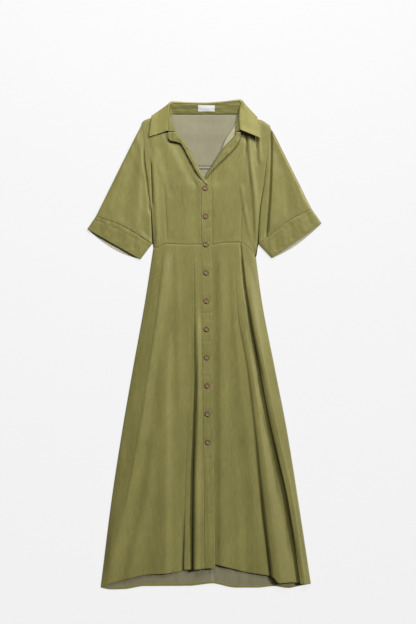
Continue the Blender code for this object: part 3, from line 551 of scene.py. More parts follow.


# The back skirts' wrong side, seen inside the hem, is a darker copy of the wrong side: painted
# shade.
shaded_wrong_side = woven("satin_wrong_side_painted_shade", (0.155, 0.142, 0.08), (0.235, 0.217, 0.13))
for word, line, waist_x, sign in (("right", RIGHT_SIDE_LINE, BACK_WAIST[0].x, -1),
                                  ("left", LEFT_SIDE_LINE, BACK_WAIST[1].x, 1)):
    panel = back_panel(line, waist_x, sign)
    panel = panel if sign < 0 else panel[:, ::-1]
    skirt = sew(f"back_skirt_{word}_cloth", panel, shaded_wrong_side, satin)
    hem, hem_grid = turned_up(f"back_hem_{word}", panel[-1], HEM_DEPTH, satin, wrong_side)
    hem_row = thread(f"back_hem_stitches_{word}", sewn_across(hem_grid, [1.2], 0, 59.9, 240, 0.2),
                     olive_thread)
    lay(skirt, f"back_skirt_{word}", with_pieces=[hem, hem_row])

# The allowances of the centre seam are pressed to one side and overlocked.
y = np.linspace(250, -642, 240)[:, None]
x = side_x(CENTRE_BACK, y) + np.linspace(-9, 0.8, 8)
z = BACK_Z + 1.5 + 0.3 * crumple(x, y, 6, 16, 7) + 0.3 * np.linspace(0, 1, 8)
centre_edge = sew("centre_back_seam_edge", grid_of(x, y, z), wrong_side, satin, thickness=0.5)

# ---- Front skirts --------------------------------------------------------------------------------
# Two flared panels that hang from the waist seam. Each lies in soft folds that widen to the hem;
# lines from waist to hem carry the folds, with the cloth eased from one line to the next.
SIDE_Z = 1.65
WAIST_Y = 270.0
WAIST = [
    Point(-137, 262), Point(-123, 262), Point(-112, 268.5), Point(-98, 271.5), Point(-52, 270),
    Point(-9, 270), Point(20, 270), Point(57, 275), Point(98, 276), Point(111, 269),
    Point(125, 255), Point(135.5, 234),
]
Band = namedtuple("Band", "y left right z_over z_under")
BAND = [
    Band(432, -8.4, 17.8, 8.2, 5.4), Band(347, -8.0, 18.3, 7.8, 5.4),
    Band(262, -7.0, 19.3, 7.8, 5.4), Band(120, -6.2, 20.8, 8.4, 5.2),
    Band(-69, -4.4, 22.7, 9.6, 5.0), Band(-231, -2.4, 25.0, 11.0, 5.0),
    Band(-420, -0.2, 27.2, 12.0, 5.2), Band(-602, 1.4, 29.0, 12.4, 5.6),
]
OVER_HEM_Y, UNDER_HEM_Y = -602.0, -592.0
SKIRT_ROWS, GAUGE_ROW, HEM_STITCH_ROW = 215, 140, 212.7  # the columns are spaced by GAUGE_ROW
COLUMN_SPACING, LEAST_COLUMNS = 2.6, 5
HIGH_FOLD_Z, HIGH_FOLD_GAIN = 8, 0.85  # folds above this height stand up more
UNDER_INSET = 1.0
Line = namedtuple(
    "Line", "name x_waist x_hip x_thigh x_knee x_calf x_hem z_waist z_thigh z_calf z_hem hem_y")
Z_LEVELS = (262, -69, -420, -650)  # the y of the four z columns of a skirt line
RIGHT_SKIRT = [
    Line("side", -137, -159, -193, -221, -250, -279, SIDE_Z, SIDE_Z, SIDE_Z, SIDE_Z, -655),
    Line("side roll", -135, -156.5, -190, -218, -247, -276, 4.4, 4.6, 4.8, 4.6, -653.5),
    Line("side crown", -126, -145, -176, -204, -232, -262, 6.0, 6.4, 6.6, 6.4, -647),
    Line("outer side", -114, -126, -142, -171, -198, -222, 6.2, 6.4, 6.4, 6.4, -635),
    Line("outer", -100, -106, -118, -141, -164, -182, 6.4, 6.4, 6.4, 6.4, -625),
    Line("middle", -84, -86, -94, -110, -128, -145, 6.4, 6.4, 6.4, 6.4, -619),
    Line("inner", -70, -68, -74, -88, -101, -111, 6.3, 6.4, 6.4, 6.2, -617),
    Line("beside strip", -55, -51, -54, -64, -74, -84, 6.4, 6.4, 6.2, 6.0, -614),
    Line("strip foot", -41, -38, -38, -46, -52.5, -53.5, 6.4, 6.4, 6.2, 3.6, -609),
    Line("strip edge", -36, -34.5, -35, -43, -50.5, -55.2, 6.4, 6.6, 7.2, 9.6, -606.5),
    Line("strip", -31, -30, -29.5, -35, -40, -43, 6.5, 6.8, 7.6, 9.4, -605.5),
    Line("pleat foot", -27.5, -26, -22.5, -24, -26, -27, 6.6, 5.6, 4.6, 4.6, -605),
    Line("pleat edge", -26, -24.5, -23, -25.5, -29, -29.5, 6.7, 9.6, 13.2, 13.6, -604),
    Line("pleat top", -18, -17, -16, -15, -17, -18, 7.0, 9.6, 12.6, 13.2, -603),
]
LEFT_SKIRT = [
    Line("beside band", 25, 28, 31, 35, 39, 44, 5.8, 5.4, 5.8, 6.6, -595),
    Line("inner", 45, 50, 58, 66, 72, 78, 6.4, 6.4, 6.4, 6.6, -604),
    Line("middle", 62, 68, 82, 96, 108, 118, 6.3, 6.2, 6.0, 6.0, -614),
    Line("rise", 74, 77, 96, 116, 134, 152, 6.4, 7.2, 7.6, 7.6, -618.5),
    Line("inner foot", 84, 87.5, 114, 132.5, 151.5, 179, 6.3, 6.6, 6.0, 5.6, -623),
    Line("inner edge", 85.5, 89.5, 120, 141, 161.5, 189, 6.4, 8.8, 11.0, 12.0, -627),
    Line("inner ridge", 90, 97, 128, 152, 175, 203, 6.4, 9.4, 12.2, 13.0, -641),
    Line("between", 95, 107, 137, 166, 200, 232, 6.4, 8.0, 8.6, 9.6, -640),
    Line("outer foot", 100, 117, 153.5, 185.5, 229, 262, 5.8, 4.6, 4.6, 5.6, -643),
    Line("outer edge", 101.5, 117.4, 150.5, 182, 225.6, 259.5, 6.6, 14.6, 14.6, 12.0, -643.5),
    Line("outer ridge", 109, 127, 162.5, 196, 238, 270, 7.0, 15.2, 14.6, 12.4, -644),
    Line("side crown", 122, 142, 177, 208, 243, 278, 6.4, 11.0, 9.6, 8.4, -645),
    Line("side roll", 133, 152, 188, 219.5, 250, 285, 4.8, 5.5, 6.0, 5.5, -645),
    Line("side", 135.5, 154.5, 191, 222.5, 253, 288, SIDE_Z, SIDE_Z, SIDE_Z, SIDE_Z, -645),
]
RIGHT_SKIRT_FOLDS = [
    Fold(7.0, 26, 15, [(-92.6, 293.2), (-114.2, 147.4), (-127.7, 66.4), (-141.2, -14.6),
        (-154.7, -95.6), (-165.5, -176.6), (-175, -257.6), (-193.9, -338.6), (-208.7, -419.6),
        (-230.3, -500.6), (-249.2, -581.6), (-270.8, -689.6)]),
    Fold(1.7, 3.2, 16, [(-98, 322.9), (-111.5, 201.4), (-123.7, 93.4), (-139.9, -14.6),
        (-152, -95.6), (-164.2, -176.6), (-179, -257.6), (-192.5, -338.6), (-208.7, -419.6),
        (-227.6, -500.6)]),
    Fold(3.6, 13, 18, [(-127.7, -203.6), (-152, -392.6), (-168.2, -473.6), (-189.8, -554.6),
        (-216.8, -716.6)]),
    Fold(4.2, 26, 12, [(-92.6, 66.4), (-103.4, -95.6), (-103.4, -365.6), (-106.1, -797.6)]),
    Fold(0.8, 16, 8, [(-30.5, 322.9), (-22.4, 147.4), (-17, -14.6)]),
    Fold(4.4, 9, 8, [(-18.4, 120.4), (-14.3, -68.6), (-14.3, -176.6), (-19.7, -338.6),
        (-21.3, -797.6)]),
    Fold(-3.2, 2.6, 1.8, [(-20.8, 12.4), (-21.9, -122.6), (-24.6, -230.6), (-28.1, -338.6),
        (-29.4, -473.6), (-30, -797.6)]),
    Fold(-1.6, 9, 2.2, [(-57.5, -446.6), (-57.5, -581.6), (-56.4, -851.6)]),
    Fold(1.5, 10, 10, [(-76.4, 293.2), (-71, 39.4), (-65.6, -203.6)]),
    Fold(1.5, 6, 8, [(-216.8, -203.6), (-243.8, -392.6), (-270.8, -581.6)]),
]
LEFT_SKIRT_FOLDS = [
    Fold(3.2, 10, 17, [(42.4, 322.9), (45.1, -149.6), (46.4, -338.6), (45.1, -500.6),
        (42.4, -797.6)]),
    Fold(1.2, 14, 12, [(74.8, 282.4), (85.6, 12.4), (96.4, -203.6)]),
    Fold(-1.0, 10, 14, [(85.6, -203.6), (101.8, -419.6), (112.6, -689.6)]),
    Fold(1.2, 8, 8, [(155.8, 120.4), (215.2, -149.6), (258.4, -419.6), (282.7, -689.6)]),
    Fold(1.8, 2.2, 9, [(97.5, 293.2), (100.7, 250), (105.6, 201.4), (112.6, 142)]),
    Fold(-3.6, 3.2, 1.8, [(95.9, 287.8), (98.6, 258.1), (102.9, 217.6), (108.8, 163.6),
        (118, 104.2)]),
    Fold(-2.8, 4.0, 2.2, [(100.7, 244.6), (109.4, 160.9), (118.5, 104.2), (129.9, 39.4),
        (141.2, -17.3), (158.5, -101)]),
    Fold(-2.4, 3.4, 2.4, [(107.2, 174.4), (126.1, 61), (140.7, -14.6), (154.7, -84.8),
        (168.2, -155), (185, -241.4), (202.8, -333.2), (220.1, -419.6), (236.8, -500.6),
        (251.9, -581.6), (266.5, -662.6)]),
    Fold(-2.0, 15, 3, [(145, -149.6), (172, -257.6), (193.6, -365.6), (212.5, -446.6),
        (244.9, -608.6)]),
]


def waist_y(x):
    """The y of the front's waist seam at each x."""
    return curve(column(WAIST, "x"), column(WAIST, "y"), x)


def band(name, y):
    """An edge or a height of the button band at each y."""
    return curve(column(BAND, "y"), column(BAND, name), y)


def groove(distance, depth=0.8, width=1.8):
    """The dip beside a seam: its depth times a bell of the distance."""
    return depth * np.exp(-((distance / width) ** 2))


def seam_shows(x):
    """1 where the waist seam shows, down to 0 at the left side, where the cloth is full."""
    return 1 - smooth((x - 97) / 9)


def stations(gaps, spacing, least):
    """Places from the first line to the last, counted from 0. Each gap is cut into equal steps
    that are no longer than the spacing, and at least the least number of them."""
    counts = np.maximum(np.ceil(gaps / spacing), least).astype(int)
    return np.concatenate([np.linspace(i, i + 1, n, endpoint=False) for i, n in enumerate(counts)]
                          + [[len(gaps)]])


def front_panel(lines, folds, seam_name, height_name, on_right):
    """A skirt front. Each line gives x and height at fixed levels, joined down it by curve(). The
    cloth between lines goes by curve() too, over the lines counted from 0, so that a line on a
    crown or in a trough is level across."""
    down = np.linspace(0, 1, SKIRT_ROWS) ** 1.02
    rows = []
    for line in lines:
        y = blend(waist_y(line.x_waist) - SEAM / 2, line.hem_y, down)
        rows.append([curve(X_LEVELS, line[1:7], y), y, curve(Z_LEVELS, line[7:11], y)])
    hem_y = OVER_HEM_Y if on_right else UNDER_HEM_Y
    y = blend(waist_y(band(seam_name, WAIST_Y)) - SEAM / 2, hem_y, down)
    x = band(seam_name, y) + (-SEAM if on_right else SEAM - UNDER_INSET)
    rows.insert(len(rows) if on_right else 0, [x, y, band(height_name, y)])
    rows = np.array(rows)
    gaps = np.hypot(np.diff(rows[:, 0, GAUGE_ROW]), np.diff(rows[:, 2, GAUGE_ROW]))
    at = stations(gaps, COLUMN_SPACING, LEAST_COLUMNS)
    x, y, z = curve(np.arange(len(rows)), rows, at).transpose(1, 2, 0)
    outer = curve(X_LEVELS, lines[0 if on_right else -1][1:7], y)
    inner = x[:, -1 if on_right else 0][:, None]
    inside = smooth(np.abs(x - outer) / 16) * smooth(np.abs(x - inner) / 12)
    fall = smooth((waist_y(x) - y) / 60)
    soft = creases(folds, x, y) + 0.55 * crumple(x, y, 19, 150, 11) + 0.2 * crumple(x, y, 7, 60, 12)
    z = z + HIGH_FOLD_GAIN * np.maximum(z - HIGH_FOLD_Z, 0) + soft * inside * (0.35 + 0.65 * fall)
    z = np.maximum(z - groove(waist_y(x) - y, 0.3 + 0.2 * seam_shows(x), 3.0), SIDE_Z)
    return grid_of(x, y, z)


for word, lines, folds, seam_name, height_name in (
        ("right", RIGHT_SKIRT, RIGHT_SKIRT_FOLDS, "left", "z_over"),
        ("left", LEFT_SKIRT, LEFT_SKIRT_FOLDS, "right", "z_under")):
    panel = front_panel(lines, folds, seam_name, height_name, word == "right")
    skirt = sew(f"front_skirt_{word}_cloth", panel, satin, wrong_side)
    rows = sewn_across(panel, [HEM_STITCH_ROW], 0.3, panel.shape[1] - 1.3, 400)
    hem_row = thread(f"front_hem_stitches_{word}", rows, olive_thread)
    lay(skirt, f"front_skirt_{word}", on=[f"back_skirt_{word}_cloth"], with_pieces=[hem_row])

# ---- Front bodices -------------------------------------------------------------------------------
# The two fronts above the waist, each with one dart. The wearer's left front turns back along the
# open neck, so that a sliver of its wrong side shows beside the lapel.
FRONT_Z = 6.4
NECK_SEAM = 0.6
SHOULDER_Z = 4.2
LOW_NECK_Z = 3.9  # height of the front under its turned-out edge
ROLL_Z = 6.2
STRIP_WIDTH = 2.4
SIDE_ROUND, SHOULDER_ROUND = 9.0, 10.0  # radii at which a front turns down at its edges
LOW_WIDTH, LOW_FADE = 12, 26  # beside the neck the front lies low, and rises over LOW_FADE
WAIST_EASE, RIDGE_LENGTH = 22, 16  # lengths above the waist seam: eased to the skirt, and raised
TURN_START_Y, TURN_END_Y = 489, 608  # where the wearer's left edge is turned back
Turn = namedtuple("Turn", "roll_x roll_y free_x free_y seam_x seam_y z_seam z_front z_free")
RIGHT_TURN = [
    Turn(-74.5, 573, -97, 571.5, -80.5, 573, 3.9, 3.9, 13.5),
    Turn(-70.5, 564, -97.5, 558, -77, 563, 3.9, 3.9, 13.0),
    Turn(-63, 557.5, -91, 549, -71, 553, 3.9, 3.9, 12.4),
    Turn(-57, 551.5, -78, 546.5, -66.5, 547, 3.9, 3.9, 11.6),
    Turn(-51, 543.5, -64, 542, -61, 538, 3.9, 3.9, 10.4),
    Turn(-44, 532, -55, 528.5, -56, 526, 3.9, 3.9, 9.8),
    Turn(-33.5, 512, -45, 510, -47.5, 508.5, 3.9, 3.9, 9.6),
    Turn(-19, 484, -30, 482, -33.5, 480, 3.9, 3.9, 9.4),
    Turn(-7, 460, -16, 457, -21, 455, 4.4, 4.4, 9.0),
    Turn(5, 441, -1.5, 438, -12.5, 437, 7.6, 7.6, 8.6),
    Turn(13.5, 428, 13.5, 428, -9.2, 425, 8.2, 8.2, 7.2),
]
LEFT_TURN = [
    Turn(83.5, 573, 97.5, 571.5, 83.5, 573, 10.0, 8.5, 13.6),
    Turn(83.0, 566, 97.5, 562, 83.0, 566, 10.0, 8.5, 13.6),
    Turn(72, 552, 89.5, 540.5, 72, 552, 10.5, 9.0, 13.6),
    Turn(61, 540.5, 79.5, 527.5, 61, 540.5, 10.5, 9.0, 13.4),
    Turn(51, 528.5, 67.5, 515, 51, 528.5, 10.5, 9.0, 13.2),
    Turn(44.5, 518, 58.5, 507, 44.5, 518, 10.0, 8.5, 13.0),
    Turn(38.5, 508.5, 51, 499.5, 38.5, 508.5, 9.0, 5.5, 12.6),
    Turn(24.5, 487, 34.5, 483.5, 24.5, 487, 7.4, 3.9, 11.6),
    Turn(12, 467, 18.5, 466, 19, 467, 4.1, 3.9, 10.0),
    Turn(5, 454, 9, 452.5, 19, 454, 3.9, 3.9, 8.0),
    Turn(-1, 438, -1, 438, 18.4, 438, 4.6, 4.6, 4.6),
    Turn(-6.5, 425, -6.5, 425, 17.2, 425, 5.4, 5.4, 5.4),
]
RIGHT_NECKLINE = [Edge(641.5, -92), Edge(621, -90), Edge(600, -86.8), Edge(584, -83)]
LEFT_NECKLINE = [Edge(645, 100), Edge(611, 91.4), Edge(598, 87.6), Edge(586, 84.6)]
LEFT_ROLL = [
    Edge(606, 87.5),
    Edge(593.7, 84.5),
    Edge(574, 71.5),
    Edge(561, 62.5),
    Edge(549, 56),
    Edge(533, 50),
    Edge(518, 43), Edge(508.5, 37), Edge(498, 29.5), Edge(489, 23),
]
RIGHT_BODICE_FOLDS = [
    Fold(2.4, 5, 9, [(-141.2, 525.4), (-133.1, 417.4), (-127.7, 309.4), (-127.7, 223)]),
    Fold(-1.1, 7, 1.3, [(-107.5, 444.4), (-96.1, 239.2)]),
    Fold(1.0, 18, 16, [(-60.2, 457.9), (-49.4, 390.4), (-44, 223)]),
    Fold(-0.8, 8, 9, [(-119.6, 547), (-103.4, 471.4), (-87.2, 390.4)]),
    Fold(0.8, 7, 9, [(-146.6, 584.8), (-135.8, 525.4), (-114.2, 449.8)]),
    Fold(-2.8, 1.8, 1.7, [(-144.5, 498.4), (-142.3, 455.2), (-140.9, 417.4), (-139.6, 366.1)]),
]
LEFT_BODICE_FOLDS = [
    Fold(3.2, 4.5, 9, [(113.9, 601), (120.7, 525.4), (124.7, 484.9), (130.1, 444.4), (134.2, 403.9),
        (137.7, 349.9), (139.6, 274.3)]),
    Fold(1.5, 4, 8, [(97.7, 439), (103.1, 390.4), (113.9, 336.4), (123.4, 282.4)]),
    Fold(-0.7, 5, 1.3, [(104.5, 401.2), (96.4, 239.2)]),
    Fold(1.0, 16, 18, [(53.2, 455.2), (47.8, 223)]),
    Fold(-2.0, 9, 9, [(115.3, 611.8), (116.6, 568.6), (113.9, 541.6)]),
    Fold(-1.5, 3.2, 3.2, [(115.3, 628), (115, 568.6), (113.9, 533.5)]),
    Fold(-0.9, 4, 3.4, [(115.3, 628), (114.2, 552.4), (111.5, 503.8)]),
    Fold(-0.7, 5, 4.5, [(115.3, 628), (114.2, 552.4), (108.8, 466)]),
    Fold(-0.8, 4, 3, [(116.9, 563.2), (119.6, 493), (125, 417.4)]),
    Fold(-1.2, 4.5, 4, [(136.9, 628), (139.6, 557.8), (141.2, 520)]),
    Fold(-0.9, 5, 5, [(136.9, 628), (139.6, 552.4), (143.4, 476.8)]),
    Fold(2.0, 3.5, 6, [(142.3, 601), (147.7, 552.4), (150.4, 482.2)]),
]
RIGHT_EDGE = [(262, SIDE_Z), (310, 4.2), (350, 5.2), (395, 6.0), (450, 6.2), (505, 6.2), (620, 6.2)]
LEFT_EDGE = [(230, SIDE_Z), (262, SIDE_Z), (350, SIDE_Z), (395, 3.4), (460, 4.0), (515, 6.2),
             (620, 6.2)]


def edge_height(on_right, y):
    """Height of a front's side edge: low below the arm, and level with the sleeve above it."""
    return curve(*zip(*(RIGHT_EDGE if on_right else LEFT_EDGE)), y)


def rounded(distance, radius):
    """The quarter round of a turned edge: 0 on the edge and 1 from radius inwards, by a circle."""
    t = 1 - np.clip(distance / radius, 0, 1)
    return np.sqrt(1 - t * t)


def front_seam(on_right):
    """The seam of a front bodice with the stand and the band: its y, x and height, going down."""
    turn = RIGHT_TURN if on_right else LEFT_TURN
    neckline = RIGHT_NECKLINE if on_right else LEFT_NECKLINE
    below = np.array([385, 328, WAIST_Y])
    edge = band("left", below) if on_right else band("right", below) - UNDER_INSET
    height = band("z_over" if on_right else "z_under", below)
    y = np.array([*column(neckline, "y"), *column(turn, "seam_y"), *below])
    x = np.array([*column(neckline, "x"), *column(turn, "seam_x"), *edge])
    z = np.array([*([LOW_NECK_Z] * len(neckline)), *column(turn, "z_front"), *height])
    return y, x, z


def bodice(on_right):
    """A front bodice from its neck edge or the band's seam out to its side, shoulder to waist.

    Each row runs between two edges. The height is the front's usual one with its folds, eased
    down under the turned-out neck, and rounded down by a quarter circle at the side."""
    sign, side = (-1, RIGHT_SIDE) if on_right else (1, LEFT_SIDE)
    shoulder = RIGHT_SHOULDER if on_right else LEFT_SHOULDER
    lines = RIGHT_SKIRT if on_right else LEFT_SKIRT
    seam_y, seam_x, seam_z = front_seam(on_right)
    across, v = np.linspace(0, 1, 86) ** 0.97, np.linspace(0, 1, 141)[:, None]
    strip = 0 if on_right else STRIP_WIDTH + 0.8
    waist_start = seam_x[-1] + sign * (SEAM + strip)
    waist_x = blend(waist_start, lines[0 if on_right else -1].x_waist, across)
    low_y = waist_y(waist_x) + SEAM * (0.1 + 0.9 * seam_shows(waist_x))
    top_x = blend(shoulder[-1].x, shoulder[0].x, across)
    top_y = curve(column(shoulder, "x"), column(shoulder, "y"), top_x)
    y = blend(top_y, low_y, v)
    first_y = y[:, :1]
    turned = smooth((first_y - TURN_START_Y) / 18) * smooth((TURN_END_Y - first_y) / 20)
    turned = turned * (not on_right)
    inner = curve(seam_y, seam_x, y) + sign * NECK_SEAM
    roll_x = side_x(LEFT_ROLL, y)
    x = blend(blend(inner + sign * strip, roll_x + 3, turned), side_x(side, y), across)
    x = x + (waist_x - blend(waist_start, side_x(side, low_y), across)) * v**4
    outer = side_x(side, y)
    neck_distance = np.abs(x - inner)
    low = (1 - smooth((neck_distance - LOW_WIDTH) / LOW_FADE)) * smooth((y - 415) / 30)
    folds = RIGHT_BODICE_FOLDS if on_right else LEFT_BODICE_FOLDS
    inside = smooth(np.abs(x - outer) / 14)
    soft = creases(folds, x, y) + inside * (
        0.3 * crumple(x, y, 22, 70, 21) + 0.2 * crumple(x, y, 7, 30, 22))
    z = blend(FRONT_Z + soft, LOW_NECK_Z, low)
    edge_z = edge_height(on_right, y)
    z = edge_z + (z - edge_z) * rounded(np.abs(x - outer), SIDE_ROUND)
    z = SHOULDER_Z + (z - SHOULDER_Z) * rounded((top_y - y) * 0.9 + 0.01, SHOULDER_ROUND)
    z = blend(z, curve(seam_y, seam_z, y), (1 - smooth(neck_distance / 14)) * (1 - turned))
    skirt_z = curve([line.x_waist for line in lines], [line.z_waist for line in lines], x)
    by_waist = smooth((low_y + WAIST_EASE - y) / WAIST_EASE)
    z = blend(z, skirt_z, by_waist * smooth((neck_distance - 4) / 10))
    z = z + (0.35 + 0.25 * seam_shows(x)) * smooth((RIDGE_LENGTH - y + low_y) / RIDGE_LENGTH)
    z = z - groove(y - low_y, 0.4, 0.9) * seam_shows(x)
    if not on_right:
        z = z - (1 - turned) * groove(neck_distance - 2.5, 0.8, 2.0)
    grid = grid_of(x, y, z)
    if on_right:
        return grid[:, ::-1]
    first_z = curve(seam_y, seam_z, first_y[:, 0])
    return turn_back(grid, inner[:, 0], roll_x[:, 0], first_z, turned[:, 0])


def turn_back(grid, seam_x, roll_x, seam_z, turned):
    """Adds the strip that turns back over the edge of the V, up to the lapel's seam.

    The strip swings about its hinge as turned goes from 0, where it lies beside the front, to 1,
    where it lies above it, and curve() rounds the roll between them."""
    hinge = blend(seam_x + STRIP_WIDTH, roll_x, turned)
    width = blend(STRIP_WIDTH, seam_x - NECK_SEAM - roll_x, turned)
    swing = math.pi * turned
    share = np.array([[1.0], [0.5], [0.0]])
    rise = 0.5 * width * np.sin(swing) + np.maximum(seam_z - ROLL_Z, 0) * turned
    strip = grid_of(hinge - width * share * np.cos(swing), grid[:, 0, 1],
                    blend(seam_z, ROLL_Z, turned) + share * rise)
    columns = np.concatenate([strip, grid.transpose(1, 0, 2)])
    columns[3, :, 2] = blend(columns[3, :, 2], LOW_NECK_Z, turned)
    at = np.concatenate([np.linspace(0, 4, 21), np.arange(5, len(columns))])
    return curve(np.arange(len(columns)), columns, at).transpose(1, 0, 2)


# The left front's wrong side is a paler copy of the wrong side: painted light on the turned-back
# sliver.
lit_turned_side = woven("satin_turned_side_painted_light", (0.3, 0.285, 0.18), (0.385, 0.365, 0.245))
for word, under_side in (("right", wrong_side), ("left", lit_turned_side)):
    panel = bodice(word == "right")
    front = sew(f"front_bodice_{word}_cloth", panel, satin, under_side)
    lay(front, f"front_bodice_{word}", on=["back_bodice_cloth", "back_yoke_cloth"])

# ---- Button bands and lapels ---------------------------------------------------------------------
# Two folded strips down the front edges, closed by the buttons. Above the first button both are
# turned out, so that they lie as narrow lapels under the points of the collar.
BAND_THICKNESS = 1.3
BUTTON_COUNT, FIRST_BUTTON_Y, BUTTON_PITCH = 10, 423.0, 76.1
PULL_DEPTH, PULL_LENGTH = 0.55, 9  # the dip of the band at each button
PUFF_HEIGHT, PUFF_LENGTH, PUFF_BELOW = 0.25, 6, 17  # the low swelling after it
BAND_COLUMNS = 27
BAND_FOLDS = [
    Fold(-0.7, 2.2, 2.2, [(-14.3, 84), (31.6, 86.7)]),
    Fold(-0.6, 2.2, 2.2, [(-14.3, 8.1), (31.6, 10.3)]),
    Fold(-0.5, 3, 3, [(-14.3, 309.4), (26.2, 317.5)]),
    Fold(0.5, 3, 3, [(-14.3, -74), (31.6, -79.4)]),
    Fold(-0.5, 3, 3, [(-17, -311.6), (34.3, -303.5)]),
    Fold(-0.4, 4, 4, [(-17, -446.6), (34.3, -457.4)]),
    Fold(0.5, 3, 4, [(4.6, -284.6), (10, -419.6), (12.7, -581.6)]),
]


def turned_row(turn, across):
    """Points across a band where it is turned out: a share of its width lies below, from the seam
    to the roll, and the rest lies above it, from the roll to the free edge."""
    seam, roll = np.array([turn.seam_x, turn.seam_y]), np.array([turn.roll_x, turn.roll_y])
    free = np.array([turn.free_x, turn.free_y])
    below, above = np.hypot(*(seam - roll)), np.hypot(*(free - roll))
    share = below / (below + above)
    along_below = np.clip(across / max(share, 1e-6), 0, 1)[:, None]
    along_above = np.clip((across - share) / max(1 - share, 1e-6), 0, 1)[:, None]
    plan = np.where(across[:, None] < share, blend(seam, roll, along_below),
                    blend(roll, free, along_above))
    climb = smooth((across - share) / 0.2 + 0.5 * (share > 0))
    return np.column_stack([plan, blend(turn.z_seam, turn.z_free, climb)])


def band_grid(turns, on_right):
    """A band from the collar to the hem: its tables' rows, joined by curve() down the band."""
    across = np.linspace(0, 1, BAND_COLUMNS)
    rows = [turned_row(turn, across) for turn in turns]
    opening = (rows[-2] + rows[-1]) / 2  # where the turned edge unfolds, it stands up
    opening[:, 2] += smooth((across - 0.55) / 0.4) * (2.5 if on_right else 1.8)
    rows.insert(-1, opening)
    hem_y, inset = (OVER_HEM_Y, 0) if on_right else (UNDER_HEM_Y, UNDER_INSET)
    height = "z_over" if on_right else "z_under"
    seam_edge, free_edge, sign = ("left", "right", 1) if on_right else ("right", "left", -1)
    for y in blend(rows[-1][0][1] - 12, hem_y, np.linspace(0, 1, 24)):
        x = blend(band(seam_edge, y) + sign * inset, band(free_edge, y) - sign * inset, across)
        rows.append(np.column_stack([x, 0 * x + y, 0 * x + band(height, y)]))
    rows = np.array(rows)
    at = stations(np.diff(run(rows[:, BAND_COLUMNS // 2])), 3.0, 4)
    grid = curve(np.arange(len(rows)), rows, at)
    x, y, z = grid.transpose(2, 0, 1)
    flat = smooth((418 - y) / 20)
    soft = creases(BAND_FOLDS, x, y) + 0.3 * crumple(x, y, 8, 26, 31)
    for number in range(BUTTON_COUNT):
        off = y - FIRST_BUTTON_Y + number * BUTTON_PITCH
        soft = soft - groove(off, PULL_DEPTH, PULL_LENGTH)
        soft = soft + groove(off - PUFF_BELOW, PUFF_HEIGHT, PUFF_LENGTH)
    z += soft * flat * (1.0 if on_right else 0.3)
    z -= 0.5 * (1 - rounded((1 - across) * 24, 2.5)) * flat
    z += (1 - flat) * 0.8 * crumple(x, y, 10, 13, 32 + on_right) * smooth((across - 0.3) / 0.3)
    return grid if on_right else grid[:, ::-1]


over_grid = band_grid(RIGHT_TURN, True)
over = sew("button_band_over_cloth", over_grid, satin, satin, thickness=BAND_THICKNESS)
over_rows = thread(
    "button_band_over_stitches",
    sewn_down(over_grid, (2.3, 23.6), 66, len(over_grid) - 1.2, 500, BAND_THICKNESS / 2)
    + sewn_down(over_grid, [24.4], 2, 60, 500, BAND_THICKNESS / 2), olive_thread)
under_grid = band_grid(LEFT_TURN, False)
under = sew("button_band_under_cloth", under_grid, satin, satin, thickness=BAND_THICKNESS)
under_rows = thread("button_band_under_stitches",
                    sewn_down(under_grid, [23.6], 2, 44, 500, BAND_THICKNESS / 2), olive_thread)
lay(under, "button_band_under", on=["back_bodice_cloth"], with_pieces=[under_rows])

# ---- Sleeves -------------------------------------------------------------------------------------
# Short wide sleeves, each a flattened tube from the armhole to its cuff. The front layer lies in
# long soft folds over the back layer, and the edges are rounded.
ARMHOLE_SEAM, TIGHT_SEAM = 0.5, 0.3  # gap in the deep crease below, and in the seam above it
UNDERARM_Y = 374.0
SLEEVE_Z = 7.6
CUFF_DIP_Z = 7.6
TUBE_ROUND = 9.0
BY_ARMHOLE, BY_CUFF = 0.12, 0.15  # shares of a sleeve eased to the armhole and to the cuff
SLEEVE_ROWS, SLEEVE_LENGTH = 101, 240
EDGE_Z = 3.4  # height at which a tube's front layer starts to turn under
Sleeve = namedtuple(
    "Sleeve", "name seam_outer seam_inner seam_rise inner_bulge edge_outer edge_inner back_drop")
SLEEVES = [
    Sleeve("right", Point(-291, 346), RIGHT_SLEEVE_END, 9.0, 0.0,
           Point(-315.6, 311.3), Point(-173, 230.3), 13.0),
    Sleeve("left", Point(288, 366), LEFT_SLEEVE_END, 9.0, -1.5,
           Point(316.2, 327), Point(182.3, 233.3), 11.0),
]
SLEEVE_FOLDS = {
    "right": [
        Fold(1.6, 16, 20, [(-179, 584.8), (-222.2, 457.9), (-270.8, 331)]),
        Fold(-1.3, 12, 12, [(-173.6, 552.4), (-200.6, 444.4), (-230.3, 293.2)]),
        Fold(1.5, 12, 9, [(-165.5, 552.4), (-176.3, 417.4), (-189.8, 255.4)]),
        Fold(-0.9, 9, 9, [(-162.8, 471.4), (-162.8, 390.4), (-160.1, 255.4)]),
        Fold(0.7, 6, 6, [(-211.4, 498.4), (-246.5, 401.2), (-265.4, 325.6)]),
    ],
    "left": [
        Fold(4.4, 4.0, 30, [(180.1, 633.4), (185, 525.4), (184.1, 444.4), (182.2, 390.4),
            (178.7, 336.4), (170.6, 201.4)]),
        Fold(1.6, 14, 18, [(193.6, 574), (234.1, 457.9), (266.5, 336.4)]),
        Fold(-1.3, 12, 12, [(188.2, 552.4), (209.8, 444.4), (231.4, 293.2)]),
        Fold(1.3, 9, 10, [(204.4, 484.9), (215.2, 390.4), (217.9, 266.2)]),
        Fold(0.7, 6, 6, [(217.9, 525.4), (253, 428.2), (280, 347.2)]),
    ],
}
SLEEVE_CREASES = {  # laid over the tube's own rounded height
    "right": [Fold(-3.4, 2.6, 2.2, [(-163.9, 536.2), (-161.2, 498.4), (-156.3, 455.2),
        (-153.1, 417.4), (-148.8, 374.2), (-146.6, 347.2)])],
    "left": [Fold(-4.0, 3.0, 2.4, [(179, 611.8), (181.2, 525.4), (180.1, 471.4), (176.9, 406.6),
        (172.5, 352.6), (168.2, 293.2), (165.5, 250)])],
}


